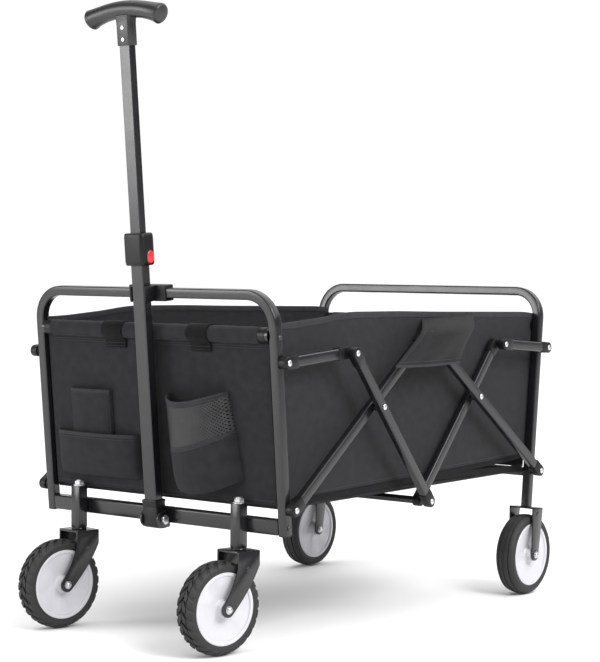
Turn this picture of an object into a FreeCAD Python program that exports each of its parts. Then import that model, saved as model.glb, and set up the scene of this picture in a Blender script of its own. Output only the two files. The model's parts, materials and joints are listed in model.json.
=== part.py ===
import FreeCAD, Part
import math
import os

# Folding utility wagon with a telescoping pull handle.
# Millimetres. +X points to the handle end, +Y to the wagon's left, +Z up.
# The origin is on the floor, under the middle of the whole wagon's box.

V = FreeCAD.Vector

# overall layout
SPAN = 766.0            # front post to rear post, centre to centre, at the lower pivots
TRACK = 514.0           # left post to right post, centre to centre
PIVOT_Z = 236.0         # height of the lower pivots
LEAN = 5.4              # degrees that each end frame leans outwards when open
HOOP_RISE = 343.0       # lower pivot to the top bar's centre, along the post
HOOP_BEND = 50.0        # centreline radius of the hoop's corners
POST_FOOT = 42.5        # front post below its lower pivot
ARM_RISE = 236.0        # lower pivot to arm pivot, along the post
RAIL_RISE = 278.5       # lower pivot to the fabric's top rail, along the post

# tubes
TUBE = 16.5             # square frame tube
WALL = 1.5              # wall of every steel tube
CROSS_BAR_H = 25.0      # height of the front cross bar
REAR_BAR_DROP = 4.0     # rear cross bar's centre below the lower pivots
STRUT_H = 18.0          # strut tube across, seen from the side
STRUT_T = 13.0          # strut tube through, along Y
STRUT_ROUND = 2.5       # radius of the strut tube's long edges
CAP_R = 10.5            # round end of a strut's plastic cap
CAP_EXTRA = 1.0         # cap thicker than its strut
CAP_LEN = 24.0          # cap's sleeve along the strut
SPREADER_R = 6.5        # round tube between the left and right struts

# linkage, at rest, measured from the wagon's middle
STRUT_TOP_Z = 502.0     # top joint of the long struts
STRUT_FOOT_Z = 214.0    # bottom joint of the steep struts
ARM_END_X = 247.6       # outer end of the steep struts
ARM_END_Z = 482.0

# gaps between the layers of the linkage, along Y
FRONT_GAP = 4.0         # front post to the struts and arms riveted on it
REAR_GAP = 6.5          # rear post to the struts and arms riveted on it
LAYER_GAP = 7.0         # between the two rear struts
TOP_GAP = 2.0           # between the long struts at their top joint
FOOT_GAP = 9.4          # between the steep struts at their bottom joint
ARM_GAP = 6.4           # between the front arm and the steep strut's top

# rivets
RIVET_R = 3.0
HEAD_R = 5.0
HEAD_H = 1.8
WASHER_R = 8.0
RUN = 0.05              # radial running clearance of a pin in its hole
FACE_GAP = 0.3          # gap between faces that slide or turn past each other
SLANT_GAP = 0.3         # extra gap at a washer that lies against a slanting strut

# wheels
WHEEL_R = 76.0
TYRE_W = 39.0
RIM_R = 59.0
HUB_R = 13.0
AXLE_R = 4.0
AXLE_HEAD_R = 6.5
AXLE_HEAD_H = 4.0
FORK_SIDE = 4.0         # tyre's side to the fork leg
FORK_T = 3.0            # fork plate
FORK_LIFT = 14.0        # tyre's top to the fork's crown plate

# front casters
CASTER_TRACK = 355.6    # left to right swivel axis
CASTER_TUBE = 20.0
CASTER_TRAIL = 41.8     # swivel axis to axle
CASTER_TURN = -10.5     # degrees that both casters stand turned about +Z
CASTER_TUBE_TOP = 241.0
KINGPIN_R = 6.0
KINGPIN_NUT_R = 8.5
KINGPIN_NUT_H = 10.0
CROWN_X = 46.0
LEG_END_R = 15.0
LEG_DROP = 30.0         # straight part of the caster's leg under its crown

# rear forks
REAR_CROWN_X = 36.0
REAR_LEG_END_R = 13.5

# fabric tub
CLOTH = 3.0
FLOOR_TOP_Z = 240.0
FLOOR_T = 6.0
RAIL_R = 12.0
HEM_R = 14.0
SIDE_END_Z = 531.0      # side panel's top edge at the posts
SIDE_MID_Z = 547.0      # side panel's top edge at its middle
SIDE_POST_GAP = 1.5     # side panel to the posts' inner faces
SIDE_FOOT_GAP = 1.5     # side panel above the floor, which clears the rear cross bar
POCKET_WALL = 2.0
PHONE_POCKET_Y = (-226.0, -42.0)
PHONE_POCKET_Z = (264.0, 392.0)
PHONE_POCKET_D = 24.0
BOTTLE_POCKET_Y = (34.0, 190.0)
BOTTLE_POCKET_Z = (262.0, 414.0)
BOTTLE_POCKET_D = 46.0

# pull handle
HANDLE_OFFSET = 23.5    # handle's centre in front of the front posts' centres
HANDLE_PIVOT_OFFSET = 24.0
HANDLE_PIVOT_Z = 200.0
LOWER_TUBE = (18.0, 26.0)
UPPER_TUBE = (14.6, 22.6)
LOWER_TUBE_TOP = 453.0  # top of the lower tube, along the handle from its pivot
UPPER_TUBE_FOOT = 326.0
UPPER_TUBE_TOP = 815.0
BOOT = (22.0, 32.0)
BOOT_TOP = 33.0
BOOT_ROUND = 15.3       # boot's round foot about the pivot clears the cross bar
COLLAR = (33.0, 45.0)
COLLAR_Z = (424.0, 477.0)
BUTTON = (14.0, 21.0, 3.0)
BUTTON_RISE = 438.0
BUTTON_STROKE = 3.0
SOCKET = (20.0, 30.0)
SOCKET_Z = (781.0, 825.0)
GRIP_R = 14.0
GRIP_END_R = 17.0
GRIP_HALF = 74.0
GRIP_RISE = 839.0       # grip's middle, along the handle from its pivot
GRIP_SAG = 12.0         # grip's ends below its middle
PIVOT_BOLT_R = 5.0
CLEVIS_T = 4.0
CLEVIS_R = 15.0
HOLDER_HALF = 40.0
HOLDER_H = 27.0
HOLDER_T = 2.5
JAW_T = 4.0
JAW_GAP = 0.6

# values that follow
COS = math.cos(math.radians(LEAN))
SIN = math.sin(math.radians(LEAN))
TAN = SIN / COS
END_X = SPAN / 2
POST_Y = TRACK / 2
POST_IN = POST_Y - TUBE / 2
POST_OUT = POST_Y + TUBE / 2
CAP_T = STRUT_T + CAP_EXTRA
FRONT_LAYER = POST_OUT + FRONT_GAP + STRUT_T / 2
REAR_LAYER = POST_OUT + REAR_GAP + STRUT_T / 2
INNER_LAYER = REAR_LAYER - STRUT_T - LAYER_GAP
LONG_TOP_LAYER = REAR_LAYER - STRUT_T - TOP_GAP
STEEP_FOOT_LAYER = INNER_LAYER + STRUT_T + FOOT_GAP
STEEP_TOP_LAYER = FRONT_LAYER + STRUT_T + ARM_GAP
CROWN_TOP = 2 * WHEEL_R + FORK_LIFT
FORK_IN = TYRE_W / 2 + FORK_SIDE
FORK_OUT = FORK_IN + FORK_T
SIDE_OUT = POST_IN - SIDE_POST_GAP
SIDE_IN = SIDE_OUT - CLOTH
REAR_AXLE = (PIVOT_Z - WHEEL_R) / COS


def lean_point(end, ahead, y, rise):
    """A point of an end frame: ahead of its post's centre, and up along the post."""
    x = END_X + rise * SIN + ahead * COS
    return V(end * x, y, PIVOT_Z + rise * COS - ahead * SIN)


def lean(shape, end):
    """Stands a shape made at a frame's lower pivot on its leaning frame."""
    shape = shape.copy()
    if end < 0:
        shape.rotate(V(), V(0, 0, 1), 180)
    shape.rotate(V(), V(0, 1, 0), end * LEAN)
    shape.translate(V(end * END_X, 0, PIVOT_Z))
    return shape


def box(x0, x1, y0, y1, z0, z1):
    return Part.makeBox(x1 - x0, y1 - y0, z1 - z0, V(x0, y0, z0))


def y_pin(x, z, y0, y1, radius):
    return Part.makeCylinder(radius, y1 - y0, V(x, y0, z), V(0, 1, 0))


def mirrored(shape):
    return shape.mirror(V(), V(0, 1, 0))


def both_sides(shape):
    return Part.makeCompound([shape, mirrored(shape)])


def round_edges(shape, radius, along):
    """Fillets the straight edges that run along a direction."""
    chosen = [e for e in shape.Edges if abs(abs(e.tangentAt(e.FirstParameter).dot(along)) - 1) < 1e-6]
    return shape.makeFillet(radius, chosen)


def plan_tube(size, z0, z1, wall, radius):
    """An upright tube, size[0] along X and size[1] along Y; wall 0 makes it solid."""
    outer = box(-size[0] / 2, size[0] / 2, -size[1] / 2, size[1] / 2, z0, z1)
    outer = round_edges(outer, radius, V(0, 0, 1))
    if not wall:
        return outer
    a = size[0] / 2 - wall
    b = size[1] / 2 - wall
    return outer.cut(box(-a, a, -b, b, z0, z1))


# ---- linkage points, at rest ----

def crossing():
    """Where a long strut and a steep strut cross, at the front."""
    long_slope = (STRUT_TOP_Z - PIVOT_Z) / -END_X
    steep_slope = (ARM_END_Z - STRUT_FOOT_Z) / ARM_END_X
    x = (STRUT_FOOT_Z - STRUT_TOP_Z) / (long_slope - steep_slope)
    return x, STRUT_TOP_Z + long_slope * x


def between(a, b, share):
    return a + (b - a) * share


CROSS_X, CROSS_Z = crossing()
SWIVEL_X = lean_point(1, TUBE / 2, 0, CROSS_BAR_H - POST_FOOT).x + CASTER_TUBE / 2
ARM_PIVOT = lean_point(1, 0, 0, ARM_RISE)
CROSS_LONG_LAYER = between(LONG_TOP_LAYER, FRONT_LAYER, CROSS_X / END_X)
CROSS_STEEP_LAYER = between(STEEP_FOOT_LAYER, STEEP_TOP_LAYER, CROSS_X / ARM_END_X)


def strut(start, end, holes):
    """A strut tube with a plastic cap on each end; holes are (x, z, radius) along Y."""
    line = end - start
    length = line.Length
    h = STRUT_H / 2
    t = STRUT_T / 2
    body = round_edges(box(0, length, -t, t, -h, h), STRUT_ROUND, V(1, 0, 0))
    body = body.cut(box(CAP_LEN, length - CAP_LEN, -t + WALL, t - WALL, -h + WALL, h - WALL))
    c = CAP_T / 2
    for x, sleeve in ((0, box(0, CAP_LEN, -c, c, -CAP_R, CAP_R)),
                      (length, box(length - CAP_LEN, length, -c, c, -CAP_R, CAP_R))):
        body = body.fuse(sleeve.fuse(y_pin(x, 0, -c, c, CAP_R)))
    body = body.removeSplitter()
    yaw = math.degrees(math.atan2(line.y, math.hypot(line.x, line.z)))
    pitch = math.degrees(math.atan2(line.z, line.x))
    body.rotate(V(), V(0, 0, 1), yaw)
    body.rotate(V(), V(0, 1, 0), -pitch)
    body.translate(start)
    middle = (start.y + end.y) / 2
    for x, z, radius in holes:
        body = body.cut(y_pin(x, z, middle - 40, middle + 40, radius))
    return body


def rivet(x, z, y0, y1, inner_head):
    """A rivet from y0 to y1, with its outer head past y1 and, if asked, one inside y0."""
    pin = y_pin(x, z, y0, y1 + HEAD_H, RIVET_R)
    pin = pin.fuse(y_pin(x, z, y1, y1 + HEAD_H, HEAD_R))
    if inner_head:
        pin = pin.fuse(y_pin(x, z, y0 - HEAD_H, y0, HEAD_R))
    return pin.removeSplitter()


def with_washer(pin, x, z, y0, y1):
    return pin.fuse(y_pin(x, z, y0, y1, WASHER_R)).removeSplitter()


# ---- end frames ----

def hoop(foot):
    """A bent square tube: two posts and a top bar, about its lower pivots."""
    r = HOOP_BEND
    y = POST_Y
    top = HOOP_RISE
    s = r * (1 - math.sqrt(0.5))
    path = Part.Wire([
        Part.makeLine(V(0, -y, -foot), V(0, -y, top - r)),
        Part.Arc(V(0, -y, top - r), V(0, -y + s, top - s), V(0, -y + r, top)).toShape(),
        Part.makeLine(V(0, -y + r, top), V(0, y - r, top)),
        Part.Arc(V(0, y - r, top), V(0, y - s, top - s), V(0, y, top - r)).toShape(),
        Part.makeLine(V(0, y, top - r), V(0, y, -foot)),
    ])

    def swept(half):
        corners = [V(-half, -y - half, -foot), V(half, -y - half, -foot),
                   V(half, -y + half, -foot), V(-half, -y + half, -foot)]
        return path.makePipeShell([Part.makePolygon(corners + corners[:1])], True, True)

    tube = swept(TUBE / 2).cut(swept(TUBE / 2 - WALL))
    for z in (0, ARM_RISE):
        tube = tube.cut(y_pin(0, z, -y - TUBE, y + TUBE, RIVET_R))
    return tube


def cross_bar(rise, height):
    """A straight tube between the posts, its centre this far above the lower pivots."""
    t = TUBE / 2
    h = height / 2
    bar = box(-t, t, -POST_IN, POST_IN, rise - h, rise + h)
    return bar.cut(box(-t + WALL, t - WALL, -POST_IN, POST_IN, rise - h + WALL, rise + h - WALL))


def top_rail():
    rail = y_pin(0, RAIL_RISE, -POST_IN, POST_IN, RAIL_R)
    return rail.cut(y_pin(0, RAIL_RISE, -POST_IN, POST_IN, RAIL_R - WALL))


def end_panel():
    """End cloth with its round hem about the top rail, clear of the side panels."""
    y = SIDE_IN - FACE_GAP
    foot = (FLOOR_TOP_Z + 1.0 - PIVOT_Z) / COS
    sheet = box(-CLOTH / 2, CLOTH / 2, -y, y, foot, RAIL_RISE - RAIL_R)
    cloth = sheet.fuse(y_pin(0, RAIL_RISE, -y, y, HEM_R))
    return cloth.cut(y_pin(0, RAIL_RISE, -y, y, RAIL_R + FACE_GAP)).removeSplitter()


# ---- fabric tub ----

def side_panel():
    """Left side cloth, between the end panels, its top edge bowed upwards."""
    gap = CLOTH / 2 + FACE_GAP

    def corner(end, z):
        return V(end * (END_X + (z - PIVOT_Z) * TAN - gap / COS), SIDE_IN, z)

    foot = FLOOR_TOP_Z + SIDE_FOOT_GAP
    a, b, c, d = corner(-1, foot), corner(1, foot), corner(1, SIDE_END_Z), corner(-1, SIDE_END_Z)
    edge = Part.Wire([
        Part.makeLine(a, b),
        Part.makeLine(b, c),
        Part.Arc(c, V(0, SIDE_IN, SIDE_MID_Z), d).toShape(),
        Part.makeLine(d, a),
    ])
    cloth = Part.Face(edge).extrude(V(0, CLOTH, 0))
    for end in (1, -1):
        hem = lean(y_pin(0, RAIL_RISE, -POST_OUT, POST_OUT, HEM_R + FACE_GAP), end)
        cloth = cloth.cut(hem)
    return cloth


def tub_floor():
    """Floor cloth with its sewn-in boards, inside the posts and above the spreader."""
    reach = END_X + (FLOOR_TOP_Z - FLOOR_T - PIVOT_Z) * TAN - TUBE / 2 - 1.0
    return box(-reach, reach, -SIDE_IN + FACE_GAP, SIDE_IN - FACE_GAP, FLOOR_TOP_Z - FLOOR_T, FLOOR_TOP_Z)


def pocket_heights(z_range):
    return [(z - PIVOT_Z) / COS for z in z_range]


def phone_pocket():
    """A flat pocket with an open top, on the front of the front panel."""
    y0, y1 = PHONE_POCKET_Y
    z0, z1 = pocket_heights(PHONE_POCKET_Z)
    back = CLOTH / 2
    w = POCKET_WALL
    outer = box(back, back + PHONE_POCKET_D, y0, y1, z0, z1)
    outer = round_edges(outer, w * 1.5, V(0, 0, 1))
    return outer.cut(box(back + w, back + PHONE_POCKET_D - w, y0 + w, y1 - w, z0 + w, z1))


def bottle_pocket():
    """A round-fronted pocket with an open top."""
    y0, y1 = BOTTLE_POCKET_Y
    z0, z1 = pocket_heights(BOTTLE_POCKET_Z)
    back = CLOTH / 2

    def bowed(inset, low, high):
        a = V(back + inset, y0 + inset * 2, low)
        b = V(back + BOTTLE_POCKET_D - inset, (y0 + y1) / 2, low)
        c = V(back + inset, y1 - inset * 2, low)
        face = Part.Face(Part.Wire([Part.Arc(a, b, c).toShape(), Part.makeLine(c, a)]))
        return face.extrude(V(0, 0, high - low))

    return bowed(0, z0, z1).cut(bowed(POCKET_WALL, z0 + POCKET_WALL, z1))


# ---- wheels and forks, about the axle ----

def rim():
    """A one-piece wheel body with shallow cones and a hub, about the Y axis."""
    half = TYRE_W / 2 - 1.5
    hub = FORK_IN - 2 * FACE_GAP
    web = 8.0
    lip = 3.0
    profile = [V(AXLE_R + RUN, hub, 0), V(HUB_R, hub, 0), V(HUB_R, web, 0), V(RIM_R - lip, half - lip, 0),
               V(RIM_R - lip, half, 0), V(RIM_R, half, 0)]
    back = [V(p.x, -p.y, 0) for p in reversed(profile)]
    outline = profile + back + profile[:1]
    return Part.Face(Part.makePolygon(outline)).revolve(V(), V(0, 1, 0), 360)


def tyre():
    half = TYRE_W / 2
    shoulder = WHEEL_R - 3.0
    crown = half - 4.0
    side = WHEEL_R - 8.0
    bead = half - 1.5
    edges = [
        Part.makeLine(V(RIM_R, -bead, 0), V(RIM_R, bead, 0)),
        Part.makeLine(V(RIM_R, bead, 0), V(side, half, 0)),
        Part.makeLine(V(side, half, 0), V(shoulder, crown, 0)),
        Part.Arc(V(shoulder, crown, 0), V(WHEEL_R, 0, 0), V(shoulder, -crown, 0)).toShape(),
        Part.makeLine(V(shoulder, -crown, 0), V(side, -half, 0)),
        Part.makeLine(V(side, -half, 0), V(RIM_R, -bead, 0)),
    ]
    return Part.Face(Part.Wire(edges)).revolve(V(), V(0, 1, 0), 360)


def tangent_point(x, z, radius, side):
    """Where the line from (x, z) touches a circle of this radius about the axle."""
    away = math.hypot(x, z)
    turn = math.acos(radius / away) * side
    angle = math.atan2(z, x) + turn
    return V(radius * math.cos(angle), 0, radius * math.sin(angle))


def leg_outline(front, back, top, drop, radius):
    """A fork leg's outline in the XZ plane, its round end about the axle."""
    low = top - drop
    touch_back = tangent_point(back, low, radius, 1)
    touch_front = tangent_point(front, low, radius, -1)
    away = (V(back + front, 0, 2 * low)).normalize() * -radius
    corners = [touch_back, V(back, 0, low), V(back, 0, top), V(front, 0, top), V(front, 0, low), touch_front]
    sides = [Part.makeLine(a, b) for a, b in zip(corners, corners[1:])]
    return Part.Face(Part.Wire(sides + [Part.Arc(touch_front, away, touch_back).toShape()]))


def fork(front, back, top, drop, radius):
    """A bent plate: a crown and two legs, with the axle hole."""
    leg = leg_outline(front, back, top, drop, radius)
    legs = []
    for y in (-FORK_OUT, FORK_IN):
        plate = leg.extrude(V(0, FORK_T, 0))
        plate.translate(V(0, y, 0))
        legs.append(plate)
    crown = box(back, front, -FORK_OUT, FORK_OUT, top - FORK_T, top)
    shape = crown.fuse(legs).removeSplitter()
    return shape.cut(y_pin(0, 0, -FORK_OUT, FORK_OUT, AXLE_R))


def axle_bolt():
    bolt = y_pin(0, 0, -FORK_OUT - AXLE_HEAD_H, FORK_OUT + AXLE_HEAD_H, AXLE_R)
    for y in (-FORK_OUT - AXLE_HEAD_H, FORK_OUT):
        bolt = bolt.fuse(y_pin(0, 0, y, y + AXLE_HEAD_H, AXLE_HEAD_R))
    return bolt.removeSplitter()


def caster_fork():
    """The swivel fork with its kingpin and nut, about its axle."""
    top = CROWN_TOP - WHEEL_R
    front = CROWN_X / 2 - CASTER_TRAIL
    back = -CROWN_X / 2 - CASTER_TRAIL
    shape = fork(front, back, top, LEG_DROP, LEG_END_R)
    tube_top = CASTER_TUBE_TOP - WHEEL_R
    nut_top = tube_top + FACE_GAP + KINGPIN_NUT_H
    pin = Part.makeCylinder(KINGPIN_R, nut_top - top + FORK_T, V(-CASTER_TRAIL, 0, top - FORK_T))
    nut = Part.makeCylinder(KINGPIN_NUT_R, KINGPIN_NUT_H, V(-CASTER_TRAIL, 0, tube_top + FACE_GAP))
    return shape.fuse([pin, nut]).removeSplitter()


def caster_tube():
    """The upright square tube that a kingpin turns in, about its swivel axis."""
    foot = CROWN_TOP + 3.0
    size = (CASTER_TUBE, CASTER_TUBE)
    flange = Part.makeCylinder(CASTER_TUBE / 2 + 3.0, 3.0 - FACE_GAP, V(0, 0, CROWN_TOP + FACE_GAP))
    tube = plan_tube(size, foot, CASTER_TUBE_TOP, 0, 2.0).fuse(flange)
    return tube.cut(Part.makeCylinder(KINGPIN_R + RUN, CASTER_TUBE_TOP - CROWN_TOP, V(0, 0, CROWN_TOP)))


def at_swivel(shape, side):
    """Puts a part made about its swivel axis at a front caster."""
    shape = shape.copy()
    shape.translate(V(SWIVEL_X, side * CASTER_TRACK / 2, 0))
    return shape


def on_caster(shape, side):
    """Puts a part made about its axle at a front caster, turned with it."""
    shape = shape.copy()
    shape.translate(V(CASTER_TRAIL, 0, WHEEL_R))
    shape.rotate(V(), V(0, 0, 1), CASTER_TURN)
    return at_swivel(shape, side)


def at_rear_axle(shape, side):
    """Puts a part made about its axle at a rear wheel, in line with the leaning post."""
    shape = shape.copy()
    shape.translate(V(0, side * POST_Y, -REAR_AXLE))
    return lean(shape, -1)


def rear_post_foot():
    """Length of the rear post below its lower pivot, down to the fork's crown."""
    return REAR_AXLE - (CROWN_TOP - WHEEL_R)


# ---- pull handle, about its pivot ----

def boot():
    """Plastic foot of the handle, with a round end about the pivot."""
    x, y = BOOT[0] / 2, BOOT[1] / 2
    step = HANDLE_OFFSET - HANDLE_PIVOT_OFFSET
    shape = box(step - x, step + x, -y, y, -BOOT_ROUND, BOOT_TOP)
    shape = round_edges(shape, 2.0, V(0, 0, 1))
    below = box(step - x - 1, step + x + 1, -y, y, -BOOT_ROUND, 0)
    shape = shape.cut(below.cut(y_pin(0, 0, -y, y, BOOT_ROUND)))
    shape = shape.cut(y_pin(0, 0, -y, y, PIVOT_BOLT_R + RUN))
    bore = lower_tube_outer(0)
    return shape.cut(bore)


def lower_tube_outer(grow):
    step = HANDLE_OFFSET - HANDLE_PIVOT_OFFSET
    size = (LOWER_TUBE[0] + grow, LOWER_TUBE[1] + grow)
    tube = plan_tube(size, PIVOT_BOLT_R + 4.0, LOWER_TUBE_TOP, 0, 2.0)
    tube.translate(V(step, 0, 0))
    return tube


def lower_tube():
    step = HANDLE_OFFSET - HANDLE_PIVOT_OFFSET
    a = UPPER_TUBE[0] / 2 + FACE_GAP
    b = UPPER_TUBE[1] / 2 + FACE_GAP
    return lower_tube_outer(0).cut(box(step - a, step + a, -b, b, 0, LOWER_TUBE_TOP))


def collar():
    """Plastic clamp on top of the lower tube, with a button window on each side."""
    z0, z1 = COLLAR_Z
    shape = plan_tube(COLLAR, z0, z1, 0, 7.0)
    a = UPPER_TUBE[0] / 2 + FACE_GAP
    b = UPPER_TUBE[1] / 2 + FACE_GAP
    shape = shape.cut(box(-a, a, -b, b, z0, z1))
    shape = shape.cut(plan_tube(LOWER_TUBE, z0, LOWER_TUBE_TOP, 0, 2.0))
    window_x = BUTTON[0] / 2 + FACE_GAP
    window_z = BUTTON[1] / 2 + FACE_GAP
    z = BUTTON_RISE
    floor = LOWER_TUBE[1] / 2
    for y0, y1 in ((floor, COLLAR[1] / 2), (-COLLAR[1] / 2, -floor)):
        shape = shape.cut(box(-window_x, window_x, y0, y1, z - window_z, z + window_z))
    shape.translate(V(HANDLE_OFFSET - HANDLE_PIVOT_OFFSET, 0, 0))
    return shape


def button(side):
    """An oval push button that stands out of the collar and can sink by its stroke."""
    a = BUTTON[0] / 2
    z = BUTTON_RISE
    half = BUTTON[1] / 2 - a
    inner = LOWER_TUBE[1] / 2 + FACE_GAP + BUTTON_STROKE
    outer = COLLAR[1] / 2 + BUTTON[2]
    low = y_pin(0, z - half, inner, outer, a)
    high = y_pin(0, z + half, inner, outer, a)
    shape = low.fuse([high, box(-a, a, inner, outer, z - half, z + half)]).removeSplitter()
    shape.translate(V(HANDLE_OFFSET - HANDLE_PIVOT_OFFSET, 0, 0))
    return shape if side > 0 else mirrored(shape)


def upper_tube():
    tube = plan_tube(UPPER_TUBE, UPPER_TUBE_FOOT, UPPER_TUBE_TOP, WALL, 1.6)
    tube.translate(V(HANDLE_OFFSET - HANDLE_PIVOT_OFFSET, 0, 0))
    return tube


def grip():
    """An arched T-grip with flared ends, moulded with its socket on the upper tube."""
    top = V(0, 0, GRIP_RISE)
    ends = [V(0, side * GRIP_HALF, GRIP_RISE - GRIP_SAG) for side in (-1, 1)]
    arc = Part.Arc(ends[0], top, ends[1])
    path = Part.Wire([arc.toShape()])
    ring = Part.Wire([Part.makeCircle(GRIP_R, ends[0], arc.tangent(arc.FirstParameter)[0])])
    shape = path.makePipeShell([ring], True, True)
    flare = 16.0
    for side, end in zip((-1, 1), ends):
        t = arc.tangent(arc.FirstParameter if side < 0 else arc.LastParameter)[0]
        inward = t if side < 0 else t * -1
        shape = shape.fuse(Part.makeCone(GRIP_END_R, GRIP_R, flare, end, inward))
    socket = plan_tube(SOCKET, SOCKET_Z[0], GRIP_RISE, 0, 2.5)
    shape = shape.fuse(socket).removeSplitter()
    shape = shape.cut(plan_tube(UPPER_TUBE, SOCKET_Z[0], UPPER_TUBE_TOP, 0, 1.6))
    shape.translate(V(HANDLE_OFFSET - HANDLE_PIVOT_OFFSET, 0, 0))
    return shape


def handle_pivot():
    """The handle's tilt axis on the leaning front frame."""
    rise = (HANDLE_PIVOT_Z - PIVOT_Z + HANDLE_PIVOT_OFFSET * SIN) / COS
    return lean_point(1, HANDLE_PIVOT_OFFSET, 0, rise)


def on_handle(shape):
    shape = shape.copy()
    shape.rotate(V(), V(0, 1, 0), LEAN)
    shape.translate(handle_pivot())
    return shape


def clevis():
    """Two ears welded on the cross bar, and the bolt that the handle tilts on."""
    rise = (HANDLE_PIVOT_Z - PIVOT_Z + HANDLE_PIVOT_OFFSET * SIN) / COS
    x = HANDLE_PIVOT_OFFSET
    near = BOOT[1] / 2 + FACE_GAP
    ears = []
    for y in (near, -near - CLEVIS_T):
        round_end = y_pin(x, rise, y, y + CLEVIS_T, CLEVIS_R)
        plate = box(TUBE / 2, x, y, y + CLEVIS_T, rise - CLEVIS_R, rise + CLEVIS_R)
        ears.append(plate.fuse(round_end).cut(box(-TUBE, TUBE / 2, y, y + CLEVIS_T, rise - 40, rise + 40)))
    bolt = y_pin(x, rise, -near - CLEVIS_T - 6.0, near + CLEVIS_T + 6.0, PIVOT_BOLT_R)
    for y in (near + CLEVIS_T, -near - CLEVIS_T - 6.0):
        bolt = bolt.fuse(y_pin(x, rise, y, y + 6.0, PIVOT_BOLT_R + 3.5))
    return bolt.fuse(ears).removeSplitter()


def handle_holder():
    """A clip round the top bar, with two jaws that hold the upright handle."""
    half = HOLDER_H / 2
    t = TUBE / 2
    z = HOOP_RISE
    body = box(-t - HOLDER_T, t + HOLDER_T, -HOLDER_HALF, HOLDER_HALF, z - half, z + half)
    body = body.cut(box(-t, t, -HOLDER_HALF, HOLDER_HALF, z - t, z + t))
    near = LOWER_TUBE[1] / 2 + JAW_GAP
    front = HANDLE_OFFSET + LOWER_TUBE[0] / 2 + 2.0
    for y in (near, -near - JAW_T):
        body = body.fuse(box(t, front, y, y + JAW_T, z - half, z + half))
    return body.removeSplitter()


# ---- assembly ----

def linkage(parts):
    """The four strut pairs, the arms and their rivets."""
    run = RIVET_R + RUN
    foot = V(END_X, FRONT_LAYER, PIVOT_Z)
    top = V(0, LONG_TOP_LAYER, STRUT_TOP_Z)
    cross = (CROSS_X, CROSS_Z)
    parts["long_strut_front"] = strut(foot, top, (
        (END_X, PIVOT_Z, run), cross + (RIVET_R,), (0, STRUT_TOP_Z, RIVET_R)))
    steep_foot = V(0, STEEP_FOOT_LAYER, STRUT_FOOT_Z)
    steep_top = V(ARM_END_X, STEEP_TOP_LAYER, ARM_END_Z)
    parts["steep_strut_front"] = strut(steep_foot, steep_top, (cross + (run,),))
    parts["long_strut_rear"] = strut(V(-END_X, REAR_LAYER, PIVOT_Z), V(0, REAR_LAYER, STRUT_TOP_Z), (
        (-END_X, PIVOT_Z, run), (-CROSS_X, CROSS_Z, RIVET_R), (0, STRUT_TOP_Z, run)))
    rear_foot = V(0, INNER_LAYER, STRUT_FOOT_Z)
    rear_top = V(-ARM_END_X, INNER_LAYER, ARM_END_Z)
    parts["steep_strut_rear"] = strut(rear_foot, rear_top, ((-CROSS_X, CROSS_Z, run),))
    arm_x, arm_z = ARM_PIVOT.x, ARM_PIVOT.z
    parts["arm_front"] = strut(V(arm_x, FRONT_LAYER, arm_z), V(ARM_END_X, FRONT_LAYER, ARM_END_Z), (
        (arm_x, arm_z, run),))
    parts["arm_rear"] = strut(V(-arm_x, REAR_LAYER, arm_z), V(-ARM_END_X, REAR_LAYER, ARM_END_Z), (
        (-arm_x, arm_z, run),))


def rivets():
    """One pair of rivets for each closed pivot, left and right."""
    c = CAP_T / 2
    t = STRUT_T / 2
    g = FACE_GAP
    arm_x, arm_z = ARM_PIVOT.x, ARM_PIVOT.z
    pairs = {}
    for name, x, z, layer in (
            ("front_foot_rivets", END_X, PIVOT_Z, FRONT_LAYER),
            ("front_arm_rivets", arm_x, arm_z, FRONT_LAYER),
            ("rear_foot_rivets", -END_X, PIVOT_Z, REAR_LAYER),
            ("rear_arm_rivets", -arm_x, arm_z, REAR_LAYER)):
        pin = rivet(x, z, POST_IN + WALL, layer + c + g, False)
        pairs[name] = with_washer(pin, x, z, POST_OUT, layer - c - g)
    slant = g + SLANT_GAP
    pin = rivet(CROSS_X, CROSS_Z, CROSS_LONG_LAYER - t - g, CROSS_STEEP_LAYER + t + slant, True)
    inner, outer = CROSS_LONG_LAYER + t + slant, CROSS_STEEP_LAYER - t - slant
    pairs["front_cross_rivets"] = with_washer(pin, CROSS_X, CROSS_Z, inner, outer)
    pin = rivet(-CROSS_X, CROSS_Z, INNER_LAYER - t - g, REAR_LAYER + t + g, False)
    pin = pin.fuse(y_pin(-CROSS_X, CROSS_Z, INNER_LAYER - t - g - HEAD_H / 2, INNER_LAYER - t - g, HEAD_R))
    pairs["rear_cross_rivets"] = with_washer(pin, -CROSS_X, CROSS_Z, INNER_LAYER + t + g, REAR_LAYER - t - g)
    pairs["top_rivets"] = rivet(0, STRUT_TOP_Z, LONG_TOP_LAYER - c - g, REAR_LAYER + c + g, True)
    return pairs


def spreader():
    """The round tube between the two steep rear struts."""
    end = INNER_LAYER - CAP_T / 2
    return y_pin(0, STRUT_FOOT_Z, -end, end, SPREADER_R)


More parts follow.
